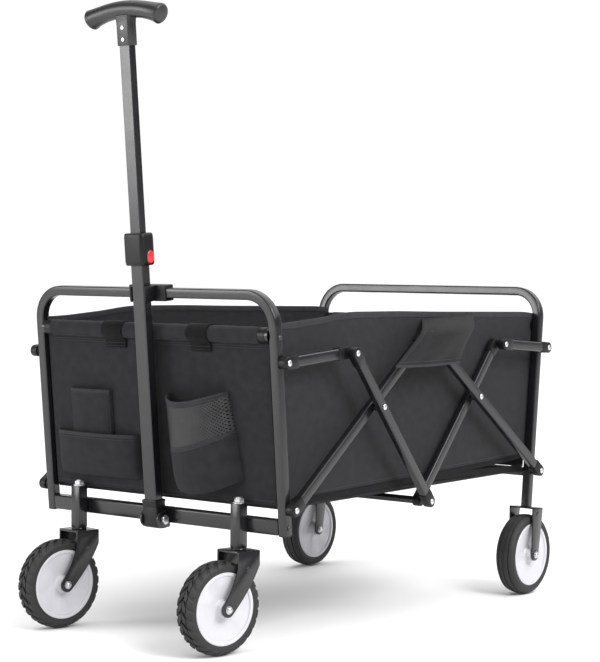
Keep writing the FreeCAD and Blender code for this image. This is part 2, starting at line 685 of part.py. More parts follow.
def build():
    """Every node of the wagon, at rest, about the wagon's middle."""
    nodes = {
        "front_hoop": lean(hoop(POST_FOOT), 1),
        "front_cross_bar": lean(cross_bar(CROSS_BAR_H / 2 - POST_FOOT, CROSS_BAR_H), 1),
        "front_top_rail": lean(top_rail(), 1),
        "front_panel": lean(end_panel(), 1),
        "rear_hoop": lean(hoop(rear_post_foot()), -1),
        "rear_cross_bar": lean(cross_bar(-REAR_BAR_DROP, TUBE), -1),
        "rear_top_rail": lean(top_rail(), -1),
        "rear_panel": lean(end_panel(), -1),
        "tub_floor": tub_floor(),
        "phone_pocket": lean(phone_pocket(), 1),
        "bottle_pocket": lean(bottle_pocket(), 1),
        "handle_clevis": lean(clevis(), 1),
        "handle_holder": lean(handle_holder(), 1),
        "handle_boot": on_handle(boot()),
        "handle_lower_tube": on_handle(lower_tube()),
        "handle_collar": on_handle(collar()),
        "handle_upper_tube": on_handle(upper_tube()),
        "handle_grip": on_handle(grip()),
        "release_button_left": on_handle(button(1)),
        "release_button_right": on_handle(button(-1)),
        "strut_spreader": spreader(),
    }
    halves = {"side_panel": side_panel()}
    linkage(halves)
    for name, shape in halves.items():
        nodes[name + "_left"] = shape
        nodes[name + "_right"] = mirrored(shape)
    for name, shape in rivets().items():
        nodes[name] = both_sides(shape)
    for side, word in ((1, "left"), (-1, "right")):
        nodes["caster_tube_" + word] = at_swivel(caster_tube(), side)
        nodes["caster_fork_" + word] = on_caster(caster_fork(), side)
        nodes["front_axle_" + word] = on_caster(axle_bolt(), side)
        nodes["front_rim_" + word] = on_caster(rim(), side)
        nodes["front_tyre_" + word] = on_caster(tyre(), side)
        rear = fork(REAR_CROWN_X / 2, -REAR_CROWN_X / 2, CROWN_TOP - WHEEL_R, 1.0, REAR_LEG_END_R)
        nodes["rear_fork_" + word] = at_rear_axle(rear, side)
        nodes["rear_axle_" + word] = at_rear_axle(axle_bolt(), side)
        nodes["rear_rim_" + word] = at_rear_axle(rim(), side)
        nodes["rear_tyre_" + word] = at_rear_axle(tyre(), side)
    return nodes


def middle_shift(nodes):
    """How far the whole wagon moves along X so that its box is centred on the origin."""
    boxes = [shape.optimalBoundingBox(False) for shape in nodes.values()]
    return -(min(b.XMin for b in boxes) + max(b.XMax for b in boxes)) / 2


NODES = build()
SHIFT = middle_shift(NODES)
os.makedirs("parts", exist_ok=True)
for node_name, node_shape in NODES.items():
    node_shape.translate(V(SHIFT, 0, 0))
    node_shape.exportStep("parts/" + node_name + ".step")
print(len(NODES), "nodes, moved", round(SHIFT, 3), "along X")
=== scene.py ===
import bpy
import bmesh
import json
import math
import numpy as np
from mathutils import Vector, Matrix

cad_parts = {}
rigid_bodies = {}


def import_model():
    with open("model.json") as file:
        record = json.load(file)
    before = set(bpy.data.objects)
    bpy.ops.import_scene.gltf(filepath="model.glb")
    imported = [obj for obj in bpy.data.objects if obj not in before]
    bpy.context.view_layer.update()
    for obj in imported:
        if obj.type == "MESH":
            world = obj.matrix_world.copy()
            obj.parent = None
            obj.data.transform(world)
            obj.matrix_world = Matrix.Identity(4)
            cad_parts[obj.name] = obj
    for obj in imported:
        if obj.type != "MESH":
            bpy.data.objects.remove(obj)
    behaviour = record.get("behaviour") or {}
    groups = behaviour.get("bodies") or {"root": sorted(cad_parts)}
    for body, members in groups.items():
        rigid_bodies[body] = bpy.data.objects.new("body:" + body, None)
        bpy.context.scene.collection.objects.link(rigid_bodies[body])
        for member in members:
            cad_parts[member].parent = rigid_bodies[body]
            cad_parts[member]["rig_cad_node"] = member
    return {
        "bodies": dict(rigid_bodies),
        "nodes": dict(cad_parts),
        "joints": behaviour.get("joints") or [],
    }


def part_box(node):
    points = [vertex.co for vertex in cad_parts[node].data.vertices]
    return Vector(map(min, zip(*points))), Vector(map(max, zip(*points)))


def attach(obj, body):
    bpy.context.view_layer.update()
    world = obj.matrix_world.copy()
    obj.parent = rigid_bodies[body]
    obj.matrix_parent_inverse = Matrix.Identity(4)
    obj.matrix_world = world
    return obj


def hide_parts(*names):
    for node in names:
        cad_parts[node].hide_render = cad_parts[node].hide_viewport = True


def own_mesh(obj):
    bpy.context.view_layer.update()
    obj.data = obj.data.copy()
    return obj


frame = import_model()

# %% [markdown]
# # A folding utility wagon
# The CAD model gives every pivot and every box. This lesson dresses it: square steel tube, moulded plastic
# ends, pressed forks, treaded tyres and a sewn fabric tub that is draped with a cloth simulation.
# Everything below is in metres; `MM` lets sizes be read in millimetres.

MM = 0.001
for stray in [o for o in bpy.data.objects if "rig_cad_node" not in o and o not in frame["bodies"].values()]:
    bpy.data.objects.remove(stray)
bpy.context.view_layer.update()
JOINT = {j["name"]: j for j in frame["joints"]}
UP = Vector(JOINT["handle_slide"]["axis"]).normalized()
LEAN = math.atan2(UP.x, UP.z)

# %% [markdown]
# ## Places
# Each end frame leans outwards. `at_end` turns "ahead of the post, across, up along the post" into a
# point, so a part can be drawn as if its frame stood upright. `on_frame` does the same for a wheel, a caster
# or the handle.

# %%
def joint_at(name):
    return Vector(JOINT[name]["pos_m"])


def at_end(end, ahead, across, rise):
    """A point of the front (1) or rear (-1) frame, from millimetres."""
    foot = joint_at("fold" if end > 0 else "rear_frame_foot_pivot")
    x = foot.x + end * (rise * math.sin(LEAN) + ahead * math.cos(LEAN)) * MM
    z = foot.z + (rise * math.cos(LEAN) - ahead * math.sin(LEAN)) * MM
    return Vector((x, across * MM, z))


def on_end(end):
    return lambda p: at_end(end, p[0], p[1], p[2])


def on_frame(origin, x_axis, z_axis=(0, 0, 1)):
    """Millimetres along x_axis, its left and z_axis, from an origin in metres."""
    x_axis, z_axis = Vector(x_axis).normalized(), Vector(z_axis).normalized()
    y_axis = z_axis.cross(x_axis)
    return lambda p: Vector(origin) + (x_axis * p[0] + y_axis * p[1] + z_axis * p[2]) * MM


def plain(p):
    return Vector(p) * MM


# %% [markdown]
# ## Shapes
# Four small tools make nearly every hard part: a swept section, a turned profile, a cut plate and a box.
# Each returns vertices in millimetres and faces, and `piece` joins several into one closed mesh, rounds its
# edges and puts it on the body that carries it.

# %%
def rounded(w, h, r, n=4):
    """A rounded rectangle's outline, anticlockwise."""
    out = []
    for cx, cy, start in ((w / 2 - r, h / 2 - r, 0), (-w / 2 + r, h / 2 - r, 90),
                          (-w / 2 + r, -h / 2 + r, 180), (w / 2 - r, -h / 2 + r, 270)):
        for k in range(n + 1):
            a = math.radians(start + 90 * k / n)
            out.append((cx + r * math.cos(a), cy + r * math.sin(a)))
    return out


def swept(stations, section, ends=True):
    """section carried along stations, each (origin, u, v, scale)."""
    verts, faces, n = [], [], len(section)
    for o, u, v, s in stations:
        verts += [Vector(o) + Vector(u) * a * s + Vector(v) * b * s for a, b in section]
    for k in range(len(stations) - 1):
        for i in range(n):
            j = (i + 1) % n
            faces.append((k * n + i, k * n + j, (k + 1) * n + j, (k + 1) * n + i))
    if ends:
        faces.append(tuple(range(n))[::-1])
        faces.append(tuple((len(stations) - 1) * n + i for i in range(n)))
    return verts, faces


def straight(a, b, section, side=(0, 1, 0)):
    """A straight bar from a to b; section's first direction is side."""
    a, b, side = Vector(a), Vector(b), Vector(side)
    along = (b - a).normalized()
    u = (side - along * side.dot(along)).normalized()
    return swept([(a, u, along.cross(u), 1), (b, u, along.cross(u), 1)], section)


def turned(profile, origin=(0, 0, 0), axis=(0, 1, 0), n=48, wave=None):
    """profile is (radius, height along axis); wave changes the height by angle."""
    axis = Vector(axis).normalized()
    u = axis.orthogonal().normalized()
    v = axis.cross(u)
    verts, faces = [], []
    for r, t in profile:
        for i in range(n):
            a = 2 * math.pi * i / n
            dt = wave(r, a) if wave else 0
            verts.append(Vector(origin) + (u * math.cos(a) + v * math.sin(a)) * max(r, 0.01)
                         + axis * (t + dt))
    for k in range(len(profile) - 1):
        for i in range(n):
            j = (i + 1) % n
            faces.append((k * n + i, k * n + j, (k + 1) * n + j, (k + 1) * n + i))
    if profile[0] != profile[-1]:
        faces.append(tuple(range(n))[::-1])
        faces.append(tuple((len(profile) - 1) * n + i for i in range(n)))
    return verts, faces


def plate(outline, y0, y1):
    """An outline in the XZ plane made solid from y0 to y1."""
    n = len(outline)
    verts = [Vector((x, y, z)) for y in (y0, y1) for x, z in outline]
    faces = [tuple(range(n)), tuple(range(n, 2 * n))[::-1]]
    faces += [(i, (i + 1) % n, n + (i + 1) % n, n + i) for i in range(n)]
    return verts, faces


def block(x0, x1, y0, y1, z0, z1):
    return plate([(x0, z0), (x1, z0), (x1, z1), (x0, z1)], y0, y1)


MADE = []


def finish_piece(obj, body, finish, stands_for=()):
    obj.data.materials.clear()
    obj.data.materials.append(finish)
    if body:
        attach(obj, body)
    if stands_for:
        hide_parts(*stands_for)
    MADE.append(obj.name)
    return obj


def link_mesh(name, mesh):
    obj = bpy.data.objects.new(name, mesh)
    bpy.context.scene.collection.objects.link(obj)
    return obj


def piece(name, shapes, body, finish, stands_for=(), place=plain, bevel=0.0, steps=2, sharp=40,
          weld=True):
    """Joins shapes into one mesh, rounds its sharp edges by bevel millimetres, and fits it to the frame."""
    bm = bmesh.new()
    for verts, faces in shapes:
        made = [bm.verts.new(place(v)) for v in verts]
        for f in faces:
            bm.faces.new([made[i] for i in f])
    if weld:
        bmesh.ops.remove_doubles(bm, verts=bm.verts, dist=2e-6)
    bmesh.ops.recalc_face_normals(bm, faces=bm.faces)
    if bevel:
        edges = [e for e in bm.edges if len(e.link_faces) == 2 and e.calc_face_angle() > math.radians(38)]
        bmesh.ops.bevel(bm, geom=edges, offset=bevel * MM, segments=steps, profile=0.5,
                        affect="EDGES", clamp_overlap=True)
    mesh = bpy.data.meshes.new(name)
    bm.to_mesh(mesh)
    bm.free()
    for p in mesh.polygons:
        p.use_smooth = True
    mesh.set_sharp_from_angle(angle=math.radians(sharp))
    return finish_piece(link_mesh(name, mesh), body, finish, stands_for)


# %% [markdown]
# ## Shared shader groups
# `Mottle` gives an uneven surface: a slow patchiness for colour and roughness and a fine height for bump.
# `Scuff` scatters a few short rub marks. `Dust` collects on faces that look up. `Weave` crosses two thread
# waves on the piece's own UV map, in metres, so cloth keeps its thread direction.

# %%
def new_group(name, inputs, outputs):
    tree = bpy.data.node_groups.new(name, "ShaderNodeTree")
    for label, kind, value in inputs:
        s = tree.interface.new_socket(label, in_out="INPUT", socket_type=kind)
        if value is not None:
            s.default_value = value
    for label, kind in outputs:
        tree.interface.new_socket(label, in_out="OUTPUT", socket_type=kind)
    return tree, tree.nodes.new("NodeGroupInput"), tree.nodes.new("NodeGroupOutput")


def node(tree, kind, links=None, **settings):
    """Adds a node, sets its properties and wires or fills its inputs."""
    made = tree.nodes.new(kind)
    for key, value in settings.items():
        setattr(made, key, value)
    for key, value in (links or {}).items():
        if isinstance(value, bpy.types.NodeSocket):
            tree.links.new(value, made.inputs[key])
        else:
            made.inputs[key].default_value = value
    return made


def mottle_group():
    tree, inp, out = new_group("Mottle",
                               [("Scale", "NodeSocketFloat", 20.0), ("Grain", "NodeSocketFloat", 900.0)],
                               [("Patch", "NodeSocketFloat"), ("Height", "NodeSocketFloat")])
    co = node(tree, "ShaderNodeTexCoord")
    slow = node(tree, "ShaderNodeTexNoise", {"Vector": co.outputs["Object"], "Scale": inp.outputs["Scale"],
                                              "Detail": 4.0, "Roughness": 0.6})
    fine = node(tree, "ShaderNodeTexNoise", {"Vector": co.outputs["Object"], "Scale": inp.outputs["Grain"],
                                              "Detail": 2.0})
    tree.links.new(slow.outputs["Fac"], out.inputs["Patch"])
    tree.links.new(fine.outputs["Fac"], out.inputs["Height"])
    return tree


def scuff_group():
    tree, inp, out = new_group("Scuff", [("Amount", "NodeSocketFloat", 0.5)], [("Mask", "NodeSocketFloat")])
    co = node(tree, "ShaderNodeTexCoord")
    stretch = node(tree, "ShaderNodeMapping", {"Vector": co.outputs["Object"], "Scale": (1.0, 1.0, 6.0)})
    fine = node(tree, "ShaderNodeTexNoise", {"Vector": stretch.outputs[0], "Scale": 160.0, "Detail": 3.0})
    wide = node(tree, "ShaderNodeTexNoise", {"Vector": co.outputs["Object"], "Scale": 9.0, "Detail": 2.0})
    marks = node(tree, "ShaderNodeMapRange", {0: fine.outputs["Fac"], 1: 0.66, 2: 0.74, 3: 0.0, 4: 1.0})
    where = node(tree, "ShaderNodeMapRange", {0: wide.outputs["Fac"], 1: 0.5, 2: 0.7, 3: 0.0, 4: 1.0})
    both = node(tree, "ShaderNodeMath", {0: marks.outputs[0], 1: where.outputs[0]}, operation="MULTIPLY")
    done = node(tree, "ShaderNodeMath", {0: both.outputs[0], 1: inp.outputs["Amount"]}, operation="MULTIPLY")
    tree.links.new(done.outputs[0], out.inputs["Mask"])
    return tree


def dust_group():
    tree, inp, out = new_group("Dust", [("Amount", "NodeSocketFloat", 0.2)], [("Mask", "NodeSocketFloat")])
    geo = node(tree, "ShaderNodeNewGeometry")
    co = node(tree, "ShaderNodeTexCoord")
    split = node(tree, "ShaderNodeSeparateXYZ", {0: geo.outputs["Normal"]})
    facing = node(tree, "ShaderNodeMapRange", {0: split.outputs["Z"], 1: 0.2, 2: 1.0, 3: 0.0, 4: 1.0})
    noise = node(tree, "ShaderNodeTexNoise", {"Vector": co.outputs["Object"], "Scale": 35.0, "Detail": 6.0})
    both = node(tree, "ShaderNodeMath", {0: facing.outputs[0], 1: noise.outputs["Fac"]}, operation="MULTIPLY")
    done = node(tree, "ShaderNodeMath", {0: both.outputs[0], 1: inp.outputs["Amount"]}, operation="MULTIPLY")
    tree.links.new(done.outputs[0], out.inputs["Mask"])
    return tree


def weave_group():
    tree, inp, out = new_group("Weave", [("Thread", "NodeSocketFloat", 0.0016)],
                               [("Height", "NodeSocketFloat"), ("Slub", "NodeSocketFloat")])
    uv = node(tree, "ShaderNodeUVMap")
    split = node(tree, "ShaderNodeSeparateXYZ", {0: uv.outputs["UV"]})
    turn = node(tree, "ShaderNodeMath", {0: 6.28318, 1: inp.outputs["Thread"]}, operation="DIVIDE")
    waves = []
    for axis in ("X", "Y"):
        angle = node(tree, "ShaderNodeMath", {0: split.outputs[axis], 1: turn.outputs[0]},
                     operation="MULTIPLY")
        waves.append(node(tree, "ShaderNodeMath", {0: angle.outputs[0]}, operation="SINE"))
    product = node(tree, "ShaderNodeMath", {0: waves[0].outputs[0], 1: waves[1].outputs[0]},
                   operation="MULTIPLY")
    slub = node(tree, "ShaderNodeTexNoise", {"Vector": uv.outputs["UV"], "Scale": 60.0, "Detail": 6.0})
    tree.links.new(product.outputs[0], out.inputs["Height"])
    tree.links.new(slub.outputs["Fac"], out.inputs["Slub"])
    return tree


MOTTLE, SCUFF, DUST, WEAVE = mottle_group(), scuff_group(), dust_group(), weave_group()

# %% [markdown]
# ## Materials
# One recipe serves every hard finish: two shades mixed by the patchiness, a few scuffs, a little dust, and
# a grain as bump. Cloth has its own recipe on the weave. Values are set as constants on the shader's
# sockets.

# %%
def hard(name, dark, light, rough, metallic=0.0, grain=900.0, bump=0.02, scale=20.0, scuffs=0.0,
         worn=(0.35, 0.35, 0.36), dust=0.15, coat=0.0, gloss=0.5):
    mat = bpy.data.materials.new(name)
    mat.use_nodes = True
    tree = mat.node_tree
    bsdf = tree.nodes["Principled BSDF"]
    mottle = node(tree, "ShaderNodeGroup", node_tree=MOTTLE)
    mottle.inputs["Scale"].default_value = scale
    mottle.inputs["Grain"].default_value = grain
    base = node(tree, "ShaderNodeMix", {0: mottle.outputs["Patch"], 6: (*dark, 1), 7: (*light, 1)},
                data_type="RGBA")
    scuff = node(tree, "ShaderNodeGroup", node_tree=SCUFF)
    scuff.inputs["Amount"].default_value = scuffs
    edged = node(tree, "ShaderNodeMix", {0: scuff.outputs["Mask"], 6: base.outputs[2], 7: (*worn, 1)},
                 data_type="RGBA")
    dust_n = node(tree, "ShaderNodeGroup", node_tree=DUST)
    dust_n.inputs["Amount"].default_value = dust
    dusty = node(tree, "ShaderNodeMix",
                 {0: dust_n.outputs["Mask"], 6: edged.outputs[2], 7: (0.20, 0.19, 0.18, 1)},
                 data_type="RGBA")
    tree.links.new(dusty.outputs[2], bsdf.inputs["Base Color"])
    spread = node(tree, "ShaderNodeMapRange", {0: mottle.outputs["Patch"], 1: 0.3, 2: 0.7,
                                               3: rough - 0.03, 4: rough + 0.04})
    tree.links.new(spread.outputs[0], bsdf.inputs["Roughness"])
    bump_n = node(tree, "ShaderNodeBump",
                  {"Strength": bump, "Distance": 0.001, "Height": mottle.outputs["Height"]})
    tree.links.new(bump_n.outputs[0], bsdf.inputs["Normal"])
    bsdf.inputs["Metallic"].default_value = metallic
    bsdf.inputs["Specular IOR Level"].default_value = gloss
    bsdf.inputs["Coat Weight"].default_value = coat
    bsdf.inputs["Coat Roughness"].default_value = 0.25
    return mat


def cloth(name, dark, light, thread=0.0016, rough=0.85, bump=0.5, holes=0.0, gloss=0.25):
    mat = bpy.data.materials.new(name)
    mat.use_nodes = True
    tree = mat.node_tree
    bsdf = tree.nodes["Principled BSDF"]
    weave = node(tree, "ShaderNodeGroup", node_tree=WEAVE)
    weave.inputs["Thread"].default_value = thread
    tone = node(tree, "ShaderNodeMapRange", {0: weave.outputs["Slub"], 1: 0.25, 2: 0.75, 3: 0.0, 4: 1.0})
    base = node(tree, "ShaderNodeMix", {0: tone.outputs[0], 6: (*dark, 1), 7: (*light, 1)}, data_type="RGBA")
    threads = node(tree, "ShaderNodeMapRange",
                   {0: weave.outputs["Height"], 1: -1.0, 2: 1.0, 3: 0.75, 4: 1.15})
    shade = node(tree, "ShaderNodeVectorMath", {0: base.outputs[2]}, operation="SCALE")
    tree.links.new(threads.outputs[0], shade.inputs["Scale"])
    tree.links.new(shade.outputs[0], bsdf.inputs["Base Color"])
    bump_n = node(tree, "ShaderNodeBump",
                  {"Strength": bump, "Distance": 0.0004, "Height": weave.outputs["Height"]})
    tree.links.new(bump_n.outputs[0], bsdf.inputs["Normal"])
    bsdf.inputs["Roughness"].default_value = rough
    bsdf.inputs["Specular IOR Level"].default_value = gloss
    bsdf.inputs["Sheen Weight"].default_value = 0.04
    bsdf.inputs["Sheen Roughness"].default_value = 0.5
    if holes:
        gap = node(tree, "ShaderNodeMath", {0: weave.outputs["Height"], 1: holes}, operation="LESS_THAN")
        tree.links.new(gap.outputs[0], bsdf.inputs["Alpha"])
    return mat


PAINT = hard("paint_black", (0.005, 0.005, 0.006), (0.010, 0.010, 0.0115), 0.23, bump=0.006, grain=1400,
             scuffs=0.10,
             dust=0.04)
PLASTIC = hard("plastic_black", (0.003, 0.003, 0.0035), (0.007, 0.007, 0.008), 0.38, bump=0.10, grain=1800,
               dust=0.02, gloss=0.25)
GRIP = hard("grip_plastic", (0.009, 0.009, 0.010), (0.017, 0.017, 0.019), 0.36, bump=0.06, grain=1500,
            dust=0.05)
RED = hard("red_plastic", (0.50, 0.012, 0.018), (0.62, 0.02, 0.025), 0.28, bump=0.02, dust=0.03, coat=0.3)
STEEL = hard("zinc_steel", (0.50, 0.50, 0.51), (0.72, 0.72, 0.73), 0.30, metallic=1.0, bump=0.05, dust=0.0)
DARK_STEEL = hard("black_steel", (0.03, 0.03, 0.032), (0.07, 0.07, 0.072), 0.35, metallic=0.7, bump=0.05)
RUBBER = hard("tyre_rubber", (0.009, 0.009, 0.009), (0.018, 0.018, 0.017), 0.66, bump=0.15, grain=700,
              dust=0.12)
WHITE = hard("wheel_white", (0.47, 0.47, 0.50), (0.58, 0.58, 0.61), 0.42, bump=0.03, dust=0.06, coat=0.15)
CLOTH = cloth("tub_cloth", (0.0085, 0.0085, 0.0095), (0.017, 0.017, 0.019))
LINING = cloth("tub_lining", (0.007, 0.007, 0.008), (0.014, 0.014, 0.0155), rough=0.9, gloss=0.2)
WEBBING = cloth("webbing", (0.003, 0.003, 0.0035), (0.006, 0.006, 0.007), thread=0.0028, bump=0.9,
                rough=0.8, gloss=0.1)
# The flap is the same fabric as the tub cloth. This darker copy is painted shade, so its tilted face, which
# catches more light, looks as dark as the side cloth around it.
SHADED_FLAP_CLOTH = cloth("painted_shade_flap_fabric", (0.0065, 0.0065, 0.0072), (0.013, 0.013, 0.0145), gloss=0.2)
BINDING = cloth("binding", (0.014, 0.014, 0.016), (0.026, 0.026, 0.028), thread=0.0014, rough=0.75)
MESH = cloth("pocket_mesh", (0.014, 0.014, 0.015), (0.026, 0.026, 0.028), thread=0.0066, rough=0.5,
             bump=0.2, holes=0.45,
             gloss=0.4)
THREAD = hard("sewing_thread", (0.025, 0.025, 0.026), (0.05, 0.05, 0.053), 0.6, bump=0.3, grain=2500,
              dust=0.0)
print("materials", len(bpy.data.materials))

# %% [markdown]
# ## Frame hoops and cross bars
# Each end frame is one square tube bent round two corners. The path is walked with its outward normal, so
# the section stays square through the bends. Plugs close the open feet, and two screw heads show on the
# outer face of each front post.

# %%
def hoop_path(half, top, bend, foot, n=9):
    """Points (across, rise) and outward normals from the right foot over to the left foot."""
    path = [(-half, -foot, -1, 0), (-half, top - bend, -1, 0)]
    for k in range(1, n + 1):
        a = math.radians(180 - 90 * k / n)
        path.append((-half + bend + bend * math.cos(a), top - bend + bend * math.sin(a), math.cos(a),
                     math.sin(a)))
    return path + [(-y, z, -ny, nz) for y, z, ny, nz in reversed(path)]


TUBE, TUBE_CORNER, BEND = 16.5, 2.6, 50.0
POST_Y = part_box("front_hoop")[1][1] / MM - TUBE / 2
TOP_RISE = 343.0
BAR_HALF = POST_Y - TUBE / 2 - 0.15
BAR_RISE = {1: (-42.5, -17.5), -1: (-12.25, 4.25)}
PLUG_HALF = 7.4
SCREW = [(4.6, 0), (4.6, 1.2), (3.4, 2.4), (0.5, 2.8)]


def foot_length(name, end):
    drop = at_end(end, 0, 0, 0).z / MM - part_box(name)[0][2] / MM
    return (drop - TUBE / 2 * math.sin(LEAN)) / math.cos(LEAN)


FOOT = {1: foot_length("front_hoop", 1), -1: foot_length("rear_hoop", -1)}
for end, word, body in ((1, "front", "front_frame"), (-1, "rear", "rear_frame")):
    path = hoop_path(POST_Y, TOP_RISE, BEND, FOOT[end])
    stations = [((0, y, z), (0, ny, nz), (1, 0, 0), 1) for y, z, ny, nz in path]
    piece(word + "_hoop_tube", [swept(stations, rounded(TUBE, TUBE, TUBE_CORNER))], body, PAINT,
          [word + "_hoop"], on_end(end), sharp=50)
    bar = block(-TUBE / 2, TUBE / 2, -BAR_HALF, BAR_HALF, *BAR_RISE[end])
    piece(word + "_cross_bar_tube", [bar], body, PAINT,
          [word + "_cross_bar"], on_end(end), bevel=2.2, steps=3)
plugs, bolts = [], []
for side in (-1, 1):
    y = side * POST_Y
    plugs.append(block(-PLUG_HALF, PLUG_HALF, y - PLUG_HALF, y + PLUG_HALF, -FOOT[1] - 1.8, -FOOT[1] + 2))
    for rise in (-30.0, 275.0):
        bolts.append(turned(SCREW, (0, y + side * TUBE / 2, rise), (0, side, 0), 16))
piece("front_post_plugs", plugs, "front_frame", PLASTIC, (), on_end(1), bevel=0.8)
piece("front_post_screws", bolts, "front_frame", DARK_STEEL, (), on_end(1))
print("hoops, feet", FOOT)

# %% [markdown]
# ## Side linkage
# A strut is a length of rounded tube with a moulded plastic cap pushed on each end. `between` lays one
# along the line of its two pivots. A thin rib stands round each cap just past its round end.

# %%
def between(a, b):
    """Local x runs from a to b, y stays across the wagon."""
    a, b = Vector(a), Vector(b)
    x = (b - a).normalized()
    y = (Vector((0, 1, 0)) - x * x.y).normalized()
    z = x.cross(y)
    return lambda p: (a + x * p[0] + y * p[1] + z * p[2]) * MM


STRUT_WIDE, STRUT_TALL, STRUT_GAP = 13.0, 17.6, 20
CAP_R, CAP_TAIL, CAP_HALF = 10.2, 24.0, 6.9
RIB_R, RIB_HALF, RIB_FROM, RIB_TO = 10.6, 7.1, 13, 15


def capsule(r, tail):
    """A cap's side view: round about the rivet and open towards the tube."""
    arc = [(-r * math.cos(math.radians(t)), r * math.sin(math.radians(t))) for t in range(-90, 91, 12)]
    return arc + [(tail, r), (tail, -r)]


def strut(name, a, b, body):
    """The left and right copy of one bar; its CAD node has the same name."""
    rib = ((RIB_FROM, -RIB_R), (RIB_TO, -RIB_R), (RIB_TO, RIB_R), (RIB_FROM, RIB_R))
    for side, word in ((1, "left"), (-1, "right")):
        p, q = Vector((a[0], side * a[1], a[2])), Vector((b[0], side * b[1], b[2]))
        length = (q - p).length
        place = between(p, q)
        tube = straight((STRUT_GAP, 0, 0), (length - STRUT_GAP, 0, 0),
                        rounded(STRUT_WIDE, STRUT_TALL, TUBE_CORNER))
        piece(name + "_tube_" + word, [tube], body, PAINT, [name + "_" + word], place)
        caps = []
        for x, turn in ((0, 1), (length, -1)):
            for outline, half in ((capsule(CAP_R, CAP_TAIL), CAP_HALF), (rib, RIB_HALF)):
                caps.append(plate([(x + turn * u, w) for u, w in outline], -half, half))
        piece(name + "_caps_" + word, caps, body, PLASTIC, (), place, bevel=1.3, weld=False)


def mm_point(name):
    return joint_at(name) / MM


def mid_y(node_name):
    low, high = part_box(node_name)
    return (low[1] + high[1]) / 2 / MM


def edge_y(node_name, which, inset):
    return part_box(node_name)[which][1] / MM + (inset if which == 0 else -inset)


B0, C0, T = mm_point("fold"), mm_point("rear_frame_foot_pivot"), mm_point("long_struts_top_pivot")
X1, X2 = mm_point("steep_struts_front_pivot"), mm_point("steep_struts_rear_pivot")
AF, AR = mm_point("arms_front_pivot"), mm_point("arms_rear_pivot")
FRONT_Y, REAR_Y = mid_y("arm_front_left"), mid_y("long_strut_rear_left")
INNER_Y = mid_y("steep_strut_rear_left")
LONG_TOP_Y = edge_y("long_strut_front_left", 0, 7.3)
STEEP_FOOT_Y, STEEP_TOP_Y = edge_y("steep_strut_front_left", 0, 7.4), edge_y("steep_strut_front_left", 1, 7.4)
SPREADER_R = 6.5
Q = Vector((T.x, 0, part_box("strut_spreader")[0][2] / MM + SPREADER_R))
END_Z = 482.0
END_X = Q.x + (X1.x - Q.x) / (X1.z - Q.z) * (END_Z - Q.z)
FAR_X = 2 * T.x - END_X
strut("long_strut_front", (B0.x, FRONT_Y, B0.z), (T.x, LONG_TOP_Y, T.z), "long_struts_front")
strut("steep_strut_front", (Q.x, STEEP_FOOT_Y, Q.z), (END_X, STEEP_TOP_Y, END_Z), "steep_struts_front")
strut("long_strut_rear", (C0.x, REAR_Y, C0.z), (T.x, REAR_Y, T.z), "long_struts_rear")
strut("steep_strut_rear", (Q.x, INNER_Y, Q.z), (FAR_X, INNER_Y, END_Z), "steep_struts_rear")
strut("arm_front", (AF.x, FRONT_Y, AF.z), (END_X, FRONT_Y, END_Z), "arms_front")
strut("arm_rear", (AR.x, REAR_Y, AR.z), (FAR_X, REAR_Y, END_Z), "arms_rear")
print("struts", len(MADE))

# %% [markdown]
# ## Rivets and spacers
# A rivet is a turned pin with a domed head; black washers keep the layers apart. The open joints at the
# bottom and at the arm ends get a head on the outer strut and a short stub that ends before the next layer.

# %%
def dome(r, h, y, side, x, z):
    profile = [(r, 0.0), (r, 0.35 * h), (r * 0.86, 0.75 * h), (r * 0.5, 0.97 * h), (0.2, h)]
    return turned(profile, (x, side * y, z), (0, side, 0), 24)


def post(r, y0, y1, side, x, z):
    return turned([(r, y0), (r, y1)], (x, 0, z), (0, side, 0), 24)


HEAD_R, HEAD_H, PIN_R, WASHER_R = 5.0, 2.0, 3.0, 7.6


def rivets(name, at, heads, pins, washers, body, cad=()):
    """Rivets on both sides at one pivot: heads, pins and black washers by their distance from the middle."""
    steel, black = [], []
    for side in (1, -1):
        steel += [dome(HEAD_R, HEAD_H, y, side, at.x, at.z) for y in heads]
        steel += [post(PIN_R, y0, y1, side, at.x, at.z) for y0, y1 in pins]
        black += [post(WASHER_R, y0, y1, side, at.x, at.z) for y0, y1 in washers]
    piece(name + "_heads", steel, body, STEEL, cad, weld=False)
    if black:
        piece(name + "_spacers", black, body, PLASTIC, (), weld=False, bevel=0.5)


OUT = POST_Y + TUBE / 2
for name, at, y, body in (("front_foot", B0, FRONT_Y, "front_frame"), ("front_arm", AF, FRONT_Y, "front_frame"),
                          ("rear_foot", C0, REAR_Y, "rear_frame"), ("rear_arm", AR, REAR_Y, "rear_frame")):
    rivets(name, at, [y + 7.2], [(OUT - 2, y + 7.2)], [(OUT, y - 7.3)], body, [name + "_rivets"])
mid_long = LONG_TOP_Y + (FRONT_Y - LONG_TOP_Y) * (X1.x - T.x) / (B0.x - T.x)
mid_steep = STEEP_FOOT_Y + (STEEP_TOP_Y - STEEP_FOOT_Y) * (X1.x - T.x) / (END_X - T.x)
rivets("front_cross", X1, [mid_steep + 7.0], [(mid_long, mid_steep + 7.0)],
       [(mid_long + 7.0, mid_steep - 7.0)], "long_struts_front", ["front_cross_rivets"])
rivets("rear_cross", X2, [REAR_Y + 7.0], [(INNER_Y, REAR_Y + 7.0)], [(INNER_Y + 6.8, REAR_Y - 6.8)],
       "long_struts_rear",
       ["rear_cross_rivets"])
rivets("top_joint", T, [REAR_Y + 7.2], [(LONG_TOP_Y, REAR_Y + 7.2)], [], "long_struts_front", ["top_rivets"])
rivets("foot_joint", Q, [STEEP_FOOT_Y + 6.8], [], [], "steep_struts_front")
rivets("front_arm_end", Vector((END_X, 0, END_Z)), [STEEP_TOP_Y + 6.8], [(STEEP_TOP_Y, STEEP_TOP_Y + 6.8)],
       [], "steep_struts_front")
